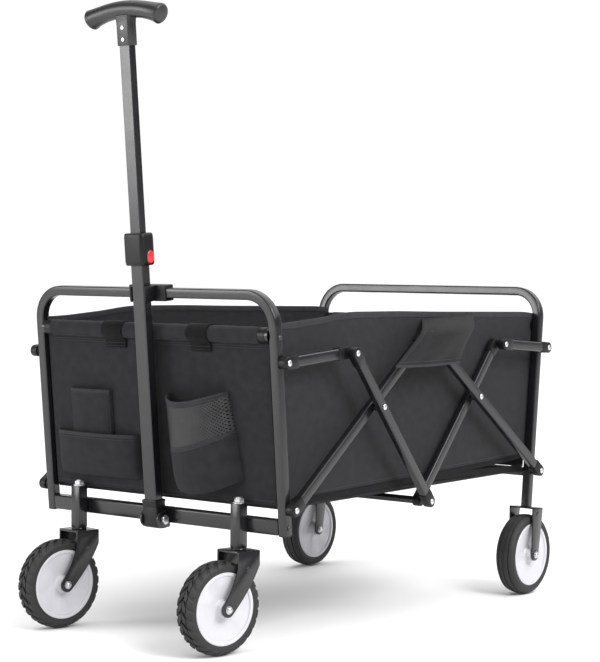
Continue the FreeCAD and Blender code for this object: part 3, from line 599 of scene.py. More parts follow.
rivets("rear_arm_end", Vector((FAR_X, 0, END_Z)), [REAR_Y + 6.8], [(REAR_Y, REAR_Y + 6.8)], [], "arms_rear")

# %% [markdown]
# ## Wheels
# The tyre's body is turned; its blocks are made once and repeated round the wheel by a geometry-nodes tree
# with the number of blocks as an input. Two rows lean opposite ways, with shoulder lugs between them. The
# wheel body is a shallow cone with pressed sectors, which the wave on its profile makes.

# %%
def radial_tree(name, repeat_material):
    tree = bpy.data.node_groups.new(name, "GeometryNodeTree")
    tree.interface.new_socket("Geometry", in_out="INPUT", socket_type="NodeSocketGeometry")
    tree.interface.new_socket("Count", in_out="INPUT", socket_type="NodeSocketInt")
    tree.interface.new_socket("Phase", in_out="INPUT", socket_type="NodeSocketFloat")
    tree.interface.new_socket("Geometry", in_out="OUTPUT", socket_type="NodeSocketGeometry")
    inp, out = tree.nodes.new("NodeGroupInput"), tree.nodes.new("NodeGroupOutput")
    points = node(tree, "GeometryNodePoints", {"Count": inp.outputs["Count"]})
    index = node(tree, "GeometryNodeInputIndex")
    step = node(tree, "ShaderNodeMath", {0: 2 * math.pi, 1: inp.outputs["Count"]}, operation="DIVIDE")
    angle = node(tree, "ShaderNodeMath", {0: index.outputs[0], 1: step.outputs[0]}, operation="MULTIPLY")
    turned_by = node(tree, "ShaderNodeMath", {0: angle.outputs[0], 1: inp.outputs["Phase"]}, operation="ADD")
    spin = node(tree, "ShaderNodeCombineXYZ", {"Y": turned_by.outputs[0]})
    copies = node(tree, "GeometryNodeInstanceOnPoints",
                  {"Points": points.outputs[0], "Instance": inp.outputs["Geometry"],
                                                         "Rotation": spin.outputs[0]})
    real = node(tree, "GeometryNodeRealizeInstances", {0: copies.outputs[0]})
    painted = node(tree, "GeometryNodeSetMaterial",
                   {"Geometry": real.outputs[0], "Material": repeat_material})
    tree.links.new(painted.outputs[0], out.inputs[0])
    return tree


def run_tree(obj, tree, values):
    """Runs a node tree on obj and keeps the result as a plain mesh."""
    mod = obj.modifiers.new("nodes", "NODES")
    mod.node_group = tree
    for item in tree.interface.items_tree:
        if item.item_type == "SOCKET" and item.in_out == "INPUT" and item.name in values:
            mod[item.identifier] = values[item.name]
    obj.update_tag()
    bpy.context.view_layer.update()
    graph = bpy.context.evaluated_depsgraph_get()
    mesh = bpy.data.meshes.new_from_object(obj.evaluated_get(graph), preserve_all_data_layers=True,
                                           depsgraph=graph)
    obj.modifiers.clear()
    obj.data = mesh
    return obj


def tread_height(y):
    y = abs(y)
    return 76.0 - 3.0 * (y / 15.5) ** 2 if y <= 15.5 else 73.0 - 5.0 * (y - 15.5) / 4.0


def lug(a0, a1, y0, y1, lean_deg, base):
    """One tread block: degrees round the tyre, millimetres across, leaning by lean_deg over its width."""
    nu, nv = 4, 3
    top, low = [], []
    for j in range(nv + 1):
        y = y0 + (y1 - y0) * j / nv
        for i in range(nu + 1):
            a = math.radians(a0 + (a1 - a0) * i / nu + lean_deg * (j / nv - 0.5))
            for r, bag in ((tread_height(y), top), (base, low)):
                bag.append((r * math.sin(a), y, r * math.cos(a)))
    verts, w, n = top + low, nu + 1, len(top)
    faces = []
    for j in range(nv):
        for i in range(nu):
            k = j * w + i
            faces += [(k, k + 1, k + w + 1, k + w), (n + k, n + k + w, n + k + w + 1, n + k + 1)]
    rim_loop = list(range(w)) + [j * w + nu for j in range(1, nv + 1)]
    rim_loop += [nv * w + i for i in range(nu - 1, -1, -1)] + [j * w for j in range(nv - 1, 0, -1)]
    for a, b in zip(rim_loop, rim_loop[1:] + rim_loop[:1]):
        faces.append((a, n + a, n + b, b))
    return verts, faces


TREAD = radial_tree("Tread_ring", RUBBER)
BLOCKS_ROUND = 26
GROOVED = [(59, -17.5), (62, -18.4), (66, -19.0), (69, -17.6), (71.4, -13.8), (72.2, -8), (72.4, 0)]
SMOOTH = [(59, -17.5), (62, -18.8), (68, -19.5), (73, -15.5), (74.3, -11), (73.0, -10.4), (73.0, -9.0),
          (75.0, -8.4),
          (75.8, -3), (74.4, -2.6), (74.4, 0)]


def both_halves(profile):
    return profile + [(r, -t) for r, t in reversed(profile) if t != 0]


def wheel_body():
    """Hub, dish and rim of one face, with its mirror image."""
    half = [(4.2, 22.4), (9.5, 22.4), (10.5, 21.6), (12.6, 21.4), (13.0, 12.5), (15.5, 9.5), (22, 9.8),
            (50, 15.2),
            (52, 15.6), (53.0, 17.6), (54.5, 18.4), (57.6, 18.4), (58.9, 17.4)]
    return half + [(r, -t) for r, t in reversed(half)]


def pressed(r, a):
    """The six pressed sectors of the dish, as a change of height."""
    return 0.55 * math.tanh(4 * math.sin(6 * a)) if 20 < r < 51 else 0.0


def wheel(word, place, body, cad, treaded):
    """Tyre, wheel body and, on the casters, the tread; KIND in cad stands for tyre or rim."""
    profile = GROOVED if treaded else SMOOTH
    piece(word + "_tyre_body", [turned(both_halves(profile) + profile[:1], n=72)], body, RUBBER,
          [cad.replace("KIND", "tyre")], place, sharp=55)
    profile = wheel_body()
    piece(word + "_wheel_body", [turned(profile + profile[:1], n=96, wave=pressed)], body, WHITE,
          [cad.replace("KIND", "rim")], place, sharp=30)
    if not treaded:
        return
    blocks = [lug(-4.4, 4.4, 0.7, 8.2, 9.0, 70.5), lug(-4.4, 4.4, -8.2, -0.7, -9.0, 70.5),
              lug(2.4, 11.2, 9.6, 19.4, 7.0, 66.0), lug(2.4, 11.2, -19.4, -9.6, -7.0, 66.0)]
    lugs = piece(word + "_tyre_lugs", blocks, None, RUBBER, bevel=0.7, weld=False, steps=1)
    run_tree(lugs, TREAD, {"Count": BLOCKS_ROUND, "Phase": 0.0})
    hub = place((0, 0, 0))
    axes = [place(metre) - hub for metre in ((1000, 0, 0), (0, 1000, 0), (0, 0, 1000))]
    lugs.data.transform(Matrix(axes).transposed().to_4x4())
    lugs.data.transform(Matrix.Translation(hub))
    lugs.data.update()
    finish_piece(lugs, body, RUBBER)


def hexagon(r, h, origin, side):
    return turned([(r - 0.8, 0), (r, 0.6), (r, h - 0.6), (r - 0.8, h)], origin, (0, side, 0), 6)


CASTER = {}
for side, word in ((1, "left"), (-1, "right")):
    spin = JOINT["front_wheel_spin_" + word]
    across = Vector(spin["axis"])
    forward = across.cross(Vector((0, 0, 1)))
    CASTER[word] = on_frame(spin["pos_m"], forward)
    wheel("front_" + word, CASTER[word], "front_wheel_" + word, "front_KIND_" + word, True)
    spin = JOINT["rear_wheel_spin_" + word]
    wheel("rear_" + word, on_frame(spin["pos_m"], (1, 0, 0)), "rear_wheel_" + word, "rear_KIND_" + word,
          False)
print("wheels", len(MADE))

# %% [markdown]
# ## Forks, axles and caster tubes
# A fork leg is the outline of two tangent lines to the round end at the axle, the same construction as in
# the CAD source. The crown joins the legs, and a pressed dimple stiffens each leg near the top.

# %%
def touch(x, z, r, side):
    """The angle at which a line from (x, z) touches the round end of radius r."""
    return math.atan2(z, x) + math.acos(r / math.hypot(x, z)) * side


def leg(front, back, top, low, r):
    """A fork leg's outline: straight to the height low, then tangent to the round end at the axle."""
    a0, a1 = touch(back, low, r, 1), touch(front, low, r, -1)
    if a1 < a0:
        a1 += 2 * math.pi
    arc = [(r * math.cos(a0 + (a1 - a0) * k / 12), r * math.sin(a0 + (a1 - a0) * k / 12)) for k in range(13)]
    return [(back, top), (back, low)] + arc + [(front, low), (front, top)]


def bowed(a, b, push):
    """Points between a and b on an edge whose middle is pushed along x."""
    return [(a[0] + (b[0] - a[0]) * t + push * 4 * t * (1 - t), a[1] + (b[1] - a[1]) * t)
            for t in (0.15, 0.3, 0.5, 0.7, 0.85)]


LEG_IN, LEG_OUT, CROWN = 23.5, 26.5, 3.2


def fork_shapes(front, back, top, low, r, bow=0.0):
    """Two legs, the crown between them, a pressed dimple and a boss on each leg."""
    outline = leg(front, back, top, low, r)
    if bow:
        outline = (outline[:2] + bowed(outline[1], outline[2], -bow) + outline[2:-2]
                   + bowed(outline[-3], outline[-2], -bow) + outline[-2:])
    shapes = [plate(outline, LEG_IN, LEG_OUT), plate(outline, -LEG_OUT, -LEG_IN)]
    shapes.append(block(back, front, -LEG_IN - 1, LEG_IN + 1, top - CROWN, top))
    middle = (front + back) / 2
    for side in (-1, 1):
        shapes.append(turned([(5.5, 0), (4.6, 0.9), (0.3, 1.1)], (middle, side * 26.4, low - 6),
                             (0, side, 0), 20))
        shapes.append(turned([(9.0, 0), (8.2, 0.8), (6.5, 0.8)], (0, side * 26.4, 0), (0, side, 0), 24))
    return shapes


def axle_shapes():
    """A pin through the wheel with a washer and a domed head at each end."""
    shapes = [turned([(4.0, -27), (4.0, 27)])]
    washer = [(6.6, 0), (6.6, 0.8), (5.2, 1.2)]
    head = [(5.2, 0), (5.2, 2.2), (4.2, 3.4), (2.2, 4.2), (0.3, 4.4)]
    for side in (-1, 1):
        for profile, y in ((washer, 27.2), (head, 28.0)):
            shapes.append(turned(profile, (0, side * y, 0), (0, side, 0), 24))
    return shapes


AXLE_TO_CROWN = 90
for side, word in ((1, "left"), (-1, "right")):
    body = "caster_" + word
    swivel = JOINT["caster_swivel_" + word]["pos_m"]
    trail = (Vector(swivel) - Vector(JOINT["front_wheel_spin_" + word]["pos_m"])) / MM
    reach = math.hypot(trail.x, trail.y)
    piece("caster_fork_plate_" + word, fork_shapes(23 - reach, -23 - reach, AXLE_TO_CROWN, 66, 12.5, 5.0),
          body, PAINT,
          ["caster_fork_" + word], CASTER[word], bevel=0.9, weld=False)
    piece("caster_axle_" + word, axle_shapes(), body, STEEL, ["front_axle_" + word],
          CASTER[word], weld=False)
    above = on_frame(swivel, (1, 0, 0))
    nut_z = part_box("caster_tube_" + word)[1][2] / MM - swivel[2] / MM
    nut = [turned([(8.0, nut_z + 1.6), (8.6, nut_z + 2.4), (8.6, nut_z + 7.4), (8.0, nut_z + 8.2)],
                  axis=(0, 0, 1), n=6),
           turned([(10.0, nut_z + 0.3), (10.0, nut_z + 1.6)], axis=(0, 0, 1), n=28),
           turned([(5.8, -1), (5.8, nut_z + 9.2), (4.8, nut_z + 10.2)], axis=(0, 0, 1), n=24)]
    piece("caster_kingpin_" + word, nut, body, STEEL, (), above, weld=False)
    tube = [block(-10, 10, -10, 10, 3, nut_z),
            turned([(13, 0.3), (13, 2.6), (11.5, 3.4)], axis=(0, 0, 1), n=32)]
    piece("caster_post_" + word, tube, "front_frame", PAINT, ["caster_tube_" + word], above,
          bevel=1.6, weld=False)
    spin = JOINT["rear_wheel_spin_" + word]
    rear = on_frame(spin["pos_m"], (math.cos(LEAN), 0, math.sin(LEAN)), (-math.sin(LEAN), 0, math.cos(LEAN)))
    piece("rear_fork_plate_" + word, fork_shapes(18, -18, AXLE_TO_CROWN, 84, 11.5), "rear_frame", PAINT,
          ["rear_fork_" + word], rear, bevel=0.9, weld=False)
    piece("rear_axle_bolt_" + word, axle_shapes(), "rear_frame", STEEL,
          ["rear_axle_" + word], rear, weld=False)
print("forks", len(MADE))

# %% [markdown]
# ## Pull handle
# Everything on the handle is drawn upright about its tilt axis and placed along the slide axis. The grip is
# a round bar swept on an arch; its radius grows towards the ends and closes with a soft dome.

# %%
HANDLE = on_frame(JOINT["handle_tilt"]["pos_m"], (math.cos(LEAN), 0, -math.sin(LEAN)), UP)
STEP = -0.5


def upright(section, levels, x=STEP):
    return swept([((x, 0, z), (1, 0, 0), (0, 1, 0), s) for z, s in levels], section)


def ring(half_x, half_y, wall, low, high):
    """Four walls round an opening, so the tube above can slide down inside."""
    spans = [(STEP - half_x, STEP - half_x + wall), (STEP + half_x - wall, STEP + half_x)]
    walls = [block(x0, x1, -half_y, half_y, low, high) for x0, x1 in spans]
    walls += [block(STEP - half_x, STEP + half_x, y0, y1, low, high)
              for y0, y1 in ((-half_y, -half_y + wall), (half_y - wall, half_y))]
    return walls


def pill(r, step):
    """The outline of a push button: two round ends on a short straight."""
    angles = [math.radians(k * step + 1) for k in range(360 // step)]
    return [(STEP + r * math.cos(t), BUTTON_Z + 3.5 * math.copysign(1, math.sin(t)) + r * math.sin(t))
            for t in angles]


BOOT_X, BOOT_Y, BOOT_R, BOOT_FLOOR = 11, 15.8, 15.2, 22
COLLAR_RINGS = [(424, 0.90), (426, 0.97), (431, 1.0), (470, 1.0), (475, 0.97), (477, 0.92)]
BUTTON_Z = 438
boot_side = [(STEP - BOOT_X, BOOT_FLOOR), (STEP - BOOT_X, 0)]
boot_side += [(BOOT_R * math.cos(math.radians(t)), BOOT_R * math.sin(math.radians(t)))
              for t in range(222, 319, 8)]
boot_side += [(STEP + BOOT_X, 0), (STEP + BOOT_X, BOOT_FLOOR)]
boot = [plate(boot_side, -BOOT_Y, BOOT_Y)]
boot += ring(BOOT_X, BOOT_Y, 3.0, 20, 33) + ring(BOOT_X + 0.7, BOOT_Y + 0.7, 3.7, 27.5, 33.5)
piece("handle_boot_shell", boot, "handle_lower", PLASTIC, ["handle_boot"], HANDLE,
      bevel=1.6, weld=False)
collar = [upright(rounded(32.0, 44.0, 8, 6), COLLAR_RINGS)]
collar += [plate(pill(9.6, 15), side * 20.0, side * 23.0) for side in (-1, 1)]
piece("handle_collar_shell", collar, "handle_lower", PLASTIC, ["handle_collar"], HANDLE,
      bevel=1.0, weld=False)
for side, word in ((1, "left"), (-1, "right")):
    piece("push_button_" + word, [plate(pill(7.0, 12), side * 16.5, side * 25.4)], "button_" + word, RED,
          ["release_button_" + word], HANDLE, bevel=1.4, steps=3)

GRIP_HALF, GRIP_TOP, GRIP_DROP, GRIP_R = 74, 839, 12, 14
grip_line = []
for k in range(45):
    y = -GRIP_HALF + 2 * GRIP_HALF * k / 44
    share = abs(y / GRIP_HALF)
    grip_line.append((y, GRIP_TOP - GRIP_DROP * share ** 2, GRIP_R + 3.0 * share ** 5))
ends = [(-78.0, 826.0, 12.5), (-76.8, 826.4, 15.2)]
line = ends + grip_line + [(-y, z, r) for y, z, r in reversed(ends)]
stations = []
for y, z, r in line:
    slope = -2 * GRIP_DROP * y / GRIP_HALF ** 2
    stations.append(((STEP, y, z), (1, 0, 0), Vector((0, -slope, 1)).normalized(), r))
circle = [(math.cos(math.radians(a)), math.sin(math.radians(a))) for a in range(0, 360, 10)]
neck = upright(rounded(20, 30, 5, 5), [(780.6, 0.95), (782, 1.0), (815, 1.0), (822, 1.04), (829, 1.12)])
piece("handle_grip_shell", [swept(stations, circle), neck], "handle_upper", GRIP,
      ["handle_grip"], HANDLE, weld=False)
socket_head = [(3.6, 0), (3.6, 0.7), (2.9, 1.2), (2.0, 1.2), (1.7, 0.3), (0.2, 0.3)]
screws = [turned(socket_head, (STEP + 10, 0, z), (1, 0, 0), 20) for z in (790.5, 809.5)]
piece("grip_screws", screws, "handle_upper", STEEL, (), HANDLE, weld=False)

# %% [markdown]
# The clip wraps the top bar and opens forwards in two jaws; the clevis is two ears with a bolt through.

# %%
clip = [block(-10.6, 10.6, -40, 40, 329.6, 356.4)]
clip += [block(8, 34.4, y0, y0 + 4, 330, 356) for y0 in (13.6, -17.6)]
piece("handle_clip", clip, "front_frame", PLASTIC, ["handle_holder"], on_end(1),
      bevel=1.8, weld=False)
ahead, EAR_R = 24.0, 14.6
rise = -(B0.z - JOINT["handle_tilt"]["pos_m"][2] / MM - ahead * math.sin(LEAN)) / math.cos(LEAN)
ear = [(TUBE / 2, rise + EAR_R), (TUBE / 2, rise - EAR_R)]
ear += [(ahead + EAR_R * math.cos(math.radians(t)), rise + EAR_R * math.sin(math.radians(t)))
        for t in range(-90, 91, 12)]
clevis = [plate(ear, 16.4, 20.2), plate(ear, -20.2, -16.4)]
piece("clevis_ears", clevis, "front_frame", PAINT, ["handle_clevis"], on_end(1), bevel=0.8,
      weld=False)
bolt = [turned([(4.9, -20), (4.9, 20)], (ahead, 0, rise))]
bolt += [hexagon(8.2, 5.4, (ahead, side * 20.4, rise), side) for side in (-1, 1)]
piece("clevis_bolt", bolt, "front_frame", STEEL, (), on_end(1), weld=False)
for name in ("handle_lower_tube", "handle_upper_tube", "front_top_rail", "rear_top_rail", "strut_spreader"):
    cad = frame["nodes"][name]
    cad.data.materials.clear()
    cad.data.materials.append(PAINT)
print("handle", len(MADE))

# %% [markdown]
# ## Draped cloth
# A panel starts as a flat grid between its sewn edges. Those edges are pinned, the cloth is cut slightly
# larger than its frame, and gravity pulls the slack into soft folds. The result is kept as a plain mesh,
# held back where a fold would touch the struts, and given the thickness of coated polyester.

# %%
def grid_mesh(name, points, size):
    """points[i][j] as a mesh with a UV map in metres."""
    nu, nv = len(points) - 1, len(points[0]) - 1
    verts = [points[i][j] for i in range(nu + 1) for j in range(nv + 1)]
    w = nv + 1
    faces = [(i * w + j, (i + 1) * w + j, (i + 1) * w + j + 1, i * w + j + 1) for i in range(nu)
             for j in range(nv)]
    mesh = bpy.data.meshes.new(name)
    mesh.from_pydata(verts, [], faces)
    layer = mesh.uv_layers.new(name="UVMap")
    for poly in mesh.polygons:
        for li in poly.loop_indices:
            i, j = divmod(mesh.loops[li].vertex_index, w)
            layer.data[li].uv = (size[0] * i / nu, size[1] * j / nv)
        poly.use_smooth = True
    return mesh


def simulate(obj, pins, slack, frames, bending=0.6):
    group = obj.vertex_groups.new(name="pins")
    for i, weight in enumerate(pins):
        if weight > 0:
            group.add([i], weight, "REPLACE")
    mod = obj.modifiers.new("cloth", "CLOTH")
    s = mod.settings
    s.quality = 6
    s.mass = 0.25
    s.tension_stiffness = 25
    s.compression_stiffness = 25
    s.shear_stiffness = 6
    s.bending_stiffness = bending
    s.air_damping = 2.0
    s.vertex_group_mass = "pins"
    s.shrink_min = -slack
    mod.collision_settings.use_collision = False
    mod.point_cache.frame_start, mod.point_cache.frame_end = 1, frames
    scene = bpy.context.scene
    for f in range(1, frames + 1):
        scene.frame_set(f)
    graph = bpy.context.evaluated_depsgraph_get()
    done = obj.evaluated_get(graph).data
    co = np.empty(len(done.vertices) * 3)
    done.vertices.foreach_get("co", co)
    obj.modifiers.clear()
    scene.frame_set(1)
    return co.reshape(-1, 3)


def thicken(obj, thickness, offset=0.0):
    mod = obj.modifiers.new("thickness", "SOLIDIFY")
    mod.thickness = thickness * MM
    mod.offset = offset
    mod.use_even_offset = True
    bpy.context.view_layer.update()
    graph = bpy.context.evaluated_depsgraph_get()
    mesh = bpy.data.meshes.new_from_object(obj.evaluated_get(graph), preserve_all_data_layers=True,
                                           depsgraph=graph)
    obj.modifiers.clear()
    obj.vertex_groups.clear()
    obj.data = mesh
    for p in mesh.polygons:
        p.use_smooth = True
    mesh.set_sharp_from_angle(angle=math.radians(60))
    return obj


def panel(name, corner, size, nu, nv, outward, limits, slack, pinned, thickness=1.2, frames=26):
    """A draped sheet; corner(u, v) is its rest place in metres. Returns the object and its grid of points."""
    rest = [[corner(i / nu, j / nv) for j in range(nv + 1)] for i in range(nu + 1)]
    obj = link_mesh(name, grid_mesh(name, rest, size))
    pins = [pinned(i / nu, j / nv) for i in range(nu + 1) for j in range(nv + 1)]
    start = np.array([list(rest[i][j]) for i in range(nu + 1) for j in range(nv + 1)])
    co = simulate(obj, pins, slack, frames)
    out = np.array(outward)
    off = (co - start) @ out
    kept = np.where(off > 0, limits[1] * MM * np.tanh(off / (limits[1] * MM)),
                    limits[0] * MM * np.tanh(off / (limits[0] * MM)))
    co = co + (kept - off)[:, None] * out
    obj.data.vertices.foreach_set("co", co.ravel())
    obj.data.update()
    points = [[Vector(co[i * (nv + 1) + j]) for j in range(nv + 1)] for i in range(nu + 1)]
    thicken(obj, thickness)
    print(name, "folds from", round(float(kept.min() / MM), 1), "to", round(float(kept.max() / MM), 1), "mm")
    return obj, points


def ribbon(name, points, u, v, section, body, finish, stands_for=()):
    """A tape with the given section along points in metres; its UV runs with its length."""
    stations = [(Vector(p) / MM, u, v, 1) for p in points]
    shape = swept(stations, section)
    obj = piece(name, [shape], body, finish, stands_for)
    along = (Vector(points[-1]) - Vector(points[0])).normalized()
    across = Vector(v) if abs(along.dot(Vector(v))) < 0.9 else Vector(u)
    flat_uv(obj, lambda co: (co.dot(along), co.dot(across)))
    return obj


def flat_uv(obj, pick):
    """A UV map in metres, read straight from each point's place by pick."""
    layer = obj.data.uv_layers.new(name="UVMap")
    for loop, uv in zip(obj.data.loops, layer.data):
        uv.uv = pick(obj.data.vertices[loop.vertex_index].co)


def shifted(points, ahead=0.0, across=0.0, up=0.0):
    """Points in metres, moved by millimetres."""
    return [p + Vector((ahead, across, up)) * MM for p in points]


def stitch_tree():
    tree = bpy.data.node_groups.new("Stitch_row", "GeometryNodeTree")
    tree.interface.new_socket("Geometry", in_out="INPUT", socket_type="NodeSocketGeometry")
    tree.interface.new_socket("Spacing", in_out="INPUT", socket_type="NodeSocketFloat")
    tree.interface.new_socket("Radius", in_out="INPUT", socket_type="NodeSocketFloat")
    tree.interface.new_socket("Geometry", in_out="OUTPUT", socket_type="NodeSocketGeometry")
    inp, out = tree.nodes.new("NodeGroupInput"), tree.nodes.new("NodeGroupOutput")
    curve = node(tree, "GeometryNodeMeshToCurve", {0: inp.outputs["Geometry"]})
    spaced = node(tree, "GeometryNodeResampleCurve",
                  {"Curve": curve.outputs[0], "Length": inp.outputs["Spacing"]}, mode="LENGTH")
    tangent = node(tree, "GeometryNodeInputTangent")
    turn = node(tree, "FunctionNodeAlignRotationToVector", {"Vector": tangent.outputs[0]}, axis="Z")
    dash = node(tree, "GeometryNodeMeshUVSphere",
                {"Segments": 6, "Rings": 4, "Radius": inp.outputs["Radius"]})
    copies = node(tree, "GeometryNodeInstanceOnPoints",
                  {"Points": spaced.outputs[0], "Instance": dash.outputs[0],
                                                         "Rotation": turn.outputs[0], "Scale": (1.0, 1.0,
                                                                                                3.6)})
    real = node(tree, "GeometryNodeRealizeInstances", {0: copies.outputs[0]})
    painted = node(tree, "GeometryNodeSetMaterial", {"Geometry": real.outputs[0], "Material": THREAD})
    tree.links.new(painted.outputs[0], out.inputs[0])
    return tree


STITCHES = stitch_tree()


def stitch(name, rows, body, spacing=4.4, radius=0.42):
    """Rows of thread along lines of points in metres."""
    mesh = bpy.data.meshes.new(name)
    verts, edges = [], []
    for row in rows:
        first = len(verts)
        verts += [tuple(p) for p in row]
        edges += [(first + k, first + k + 1) for k in range(len(row) - 1)]
    mesh.from_pydata(verts, edges, [])
    obj = run_tree(link_mesh(name, mesh), STITCHES, {"Spacing": spacing * MM, "Radius": radius * MM})
    return finish_piece(obj, body, THREAD)


# %% [markdown]
# ## Side panels
# The top edge bows up in the middle. The bottom edge meets the floor at the front and rises clear of it
# towards the rear corner. A tape binds both edges.

# %%
SIDE_IN, SIDE_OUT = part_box("side_panel_left")[0][1] / MM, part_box("side_panel_left")[1][1] / MM
SIDE_Y = (SIDE_IN + SIDE_OUT) / 2
FLOOR_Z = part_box("tub_floor")[1][2] / MM
TOP_EDGE = [(-426, 532), (-395, 538), (-213, 541), (-78, 543), (49, 546), (211, 547), (248, 541), (378, 531)]
TOP_SHIFT = (B0.x + C0.x) / 2


def top_edge(x):
    x = x - TOP_SHIFT
    xs, zs = [p[0] for p in TOP_EDGE], [p[1] for p in TOP_EDGE]
    smooth = np.interp([x - 30, x - 15, x, x + 15, x + 30], xs, zs)
    return float(np.mean(smooth))


def side_point(side):
    def place(u, v):
        z0 = FLOOR_Z + 3.0 + 20.0 * (1 - u) + 4.0 * math.exp(-u / 0.05)
        z = z0 + (545 - z0) * v
        lean = (z - B0.z) * math.tan(LEAN)
        x0, x1 = C0.x - lean + 2.2, B0.x + lean - 2.2
        x = x0 + (x1 - x0) * u
        z = z0 + (top_edge(x) - 1.0 - z0) * v
        return Vector((x, side * SIDE_Y, z)) * MM
    return place


def side_pins(u, v):
    """Every edge is sewn; the row under the binding is held loosely."""
    if v in (0.0, 1.0) or u in (0.0, 1.0):
        return 1.0
    return 0.35 if abs(v - 0.93) < 0.03 else 0.0


for side, word in ((1, "left"), (-1, "right")):
    obj, pts = panel("side_cloth_" + word, side_point(side), (0.80, 0.305), 96, 36, (0, side, 0),
                     (9.0, 1.6), 0.012,
                     side_pins)
    finish_piece(obj, "front_frame", CLOTH, ["side_panel_" + word])
    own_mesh(obj)
    top, foot = [column[-1] for column in pts], [column[0] for column in pts]
    tops = shifted(top, up=-3.5)
    bind = ribbon("side_binding_" + word, tops, (0, 1, 0), (0, 0, 1), rounded(3.2, 11.0, 1.5, 2),
                  "front_frame", BINDING)
    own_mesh(bind)
    lows = shifted(foot, across=side * 0.5, up=-2.0)
    low = ribbon("side_foot_tape_" + word, lows, (0, 1, 0), (0, 0, 1), rounded(3.0, 9.0, 1.4, 2),
                 "front_frame", WEBBING)
    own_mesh(low)
    row = shifted(top[1:-1], across=side * 1.8, up=-6.5)
    low_row = shifted([column[1] for column in pts[1:-1]], across=side * 0.9)
    thread = stitch("side_stitches_" + word, [row, low_row], "front_frame")
    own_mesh(thread)

# %% [markdown]
# The joint of the long struts is hidden under a cloth flap. It leaves the panel below its top edge and is
# carried outwards over the rivet, so it is drawn as a ruled sheet with a soft shoulder.

# %%
def flap_point(side):
    lift = REAR_Y + 7.2 + 11.0 - SIDE_OUT

    def place(u, v):
        front = Vector((T.x - 20 + 152 * v, 0, 531 - 75 * v))
        rear = Vector((T.x - 190 + 123 * v, 0, 538 - 82 * v))
        p = front.lerp(rear, u)
        shoulder = math.sin(min(1.0, v / 0.38) * math.pi / 2)
        middle = math.sin(math.pi * (0.04 + 0.92 * u)) ** 0.42
        edge = v ** 0.95 if u < 0.5 else v ** 1.8
        ripple = 0.8 * math.sin(5.0 * u * math.pi) * v
        p.y = side * (SIDE_OUT + 0.8 + lift * (edge + (shoulder - edge) * middle) + ripple)
        p.z -= 2.0 * math.sin(math.pi * u) * v ** 4
        return p * MM
    return place


for side, word in ((1, "left"), (-1, "right")):
    place = flap_point(side)
    grid = [[place(i / 30, j / 24) for j in range(25)] for i in range(31)]
    obj = thicken(link_mesh("joint_flap_" + word, grid_mesh("joint_flap_" + word, grid, (0.14, 0.10))), 1.2)
    # The flap uses the darker copy of the cloth, which is painted shade.
    finish_piece(obj, "front_frame", SHADED_FLAP_CLOTH)
    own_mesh(obj)
    tape = ribbon("flap_hem_" + word, [column[-1] for column in grid], (0, 1, 0), (0, 0, 1),
                  rounded(2.4, 4.5, 1.1, 2), "front_frame", BINDING)
    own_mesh(tape)
    rows = [shifted(line, across=side * 0.9) for line in ([column[-3] for column in grid], grid[1])]
    thread = stitch("flap_stitches_" + word, rows, "front_frame")
    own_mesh(thread)
print("side cloth", len(MADE))

# %% [markdown]
# ## End panels, hems and straps
# The front and rear cloth wrap round a rail in a fat hem. Webbing loops are folded over the front hem and
# sewn down below it.

# %%
RAIL_RISE, HEM_HALF, STRAP_R = 278.5, 229, 14.9
STRAPS = ((-106, -60), (82, 126))
FOOT_RISE = (FLOOR_Z + 1.2 - B0.z) / math.cos(LEAN)


def end_cloth(end):
    def place(u, v):
        return at_end(end, 0.0, -243.2 + 486.4 * u, FOOT_RISE + (RAIL_RISE - 13.5 - FOOT_RISE) * v)
    return place


def seam(end, ahead, y0, y1, rise, n):
    """A straight row of points across an end panel."""
    return [at_end(end, ahead, y0 + (y1 - y0) * k / n, rise) for k in range(n + 1)]


def hem_radius(k):
    """A slightly uneven round hem, close to 14 mm in radius."""
    return 13.6 + 0.25 * math.sin(k * 0.9) + 0.2 * math.sin(k * 2.3 + 1)


for end, word, body in ((1, "front", "front_frame"), (-1, "rear", "rear_frame")):
    out = (at_end(end, 10, 0, 0) - at_end(end, 0, 0, 0)).normalized()
    obj, _ = panel(word + "_cloth", end_cloth(end), (0.487, 0.26), 56, 30, tuple(out),
                   (8.0, 1.2 if end > 0 else 6.0), 0.010,
                     lambda u, v: 1.0 if v in (0.0, 1.0) or u in (0.0, 1.0) else 0.0)
    finish_piece(obj, body, CLOTH, [word + "_panel"])
    stations = [((0, HEM_HALF * (k / 30 - 1), RAIL_RISE), (1, 0, 0), (0, 0, 1), hem_radius(k))
                for k in range(61)]
    roll = [(math.cos(math.radians(a)), math.sin(math.radians(a))) for a in range(0, 360, 12)]
    hem = piece(word + "_hem", [swept(stations, roll)], body, CLOTH, (), on_end(end))
    flat_uv(hem, lambda co: (co.y, co.z))
    ends = [turned([(12.9, s * HEM_HALF), (12.9, s * 243), (11.8, s * 243.6)], (0, 0, RAIL_RISE), n=32)
            for s in (-1, 1)]
    piece(word + "_hem_ends", ends, body, PLASTIC, (), on_end(end), weld=False)
    rows = [seam(end, 1.6, -238, 238, RAIL_RISE - drop, 40) for drop in (17.5, 21.0)]
    rows.append(seam(end, 1.4, -238, 238, FOOT_RISE + 6, 40))
    stitch(word + "_stitches", rows, body)

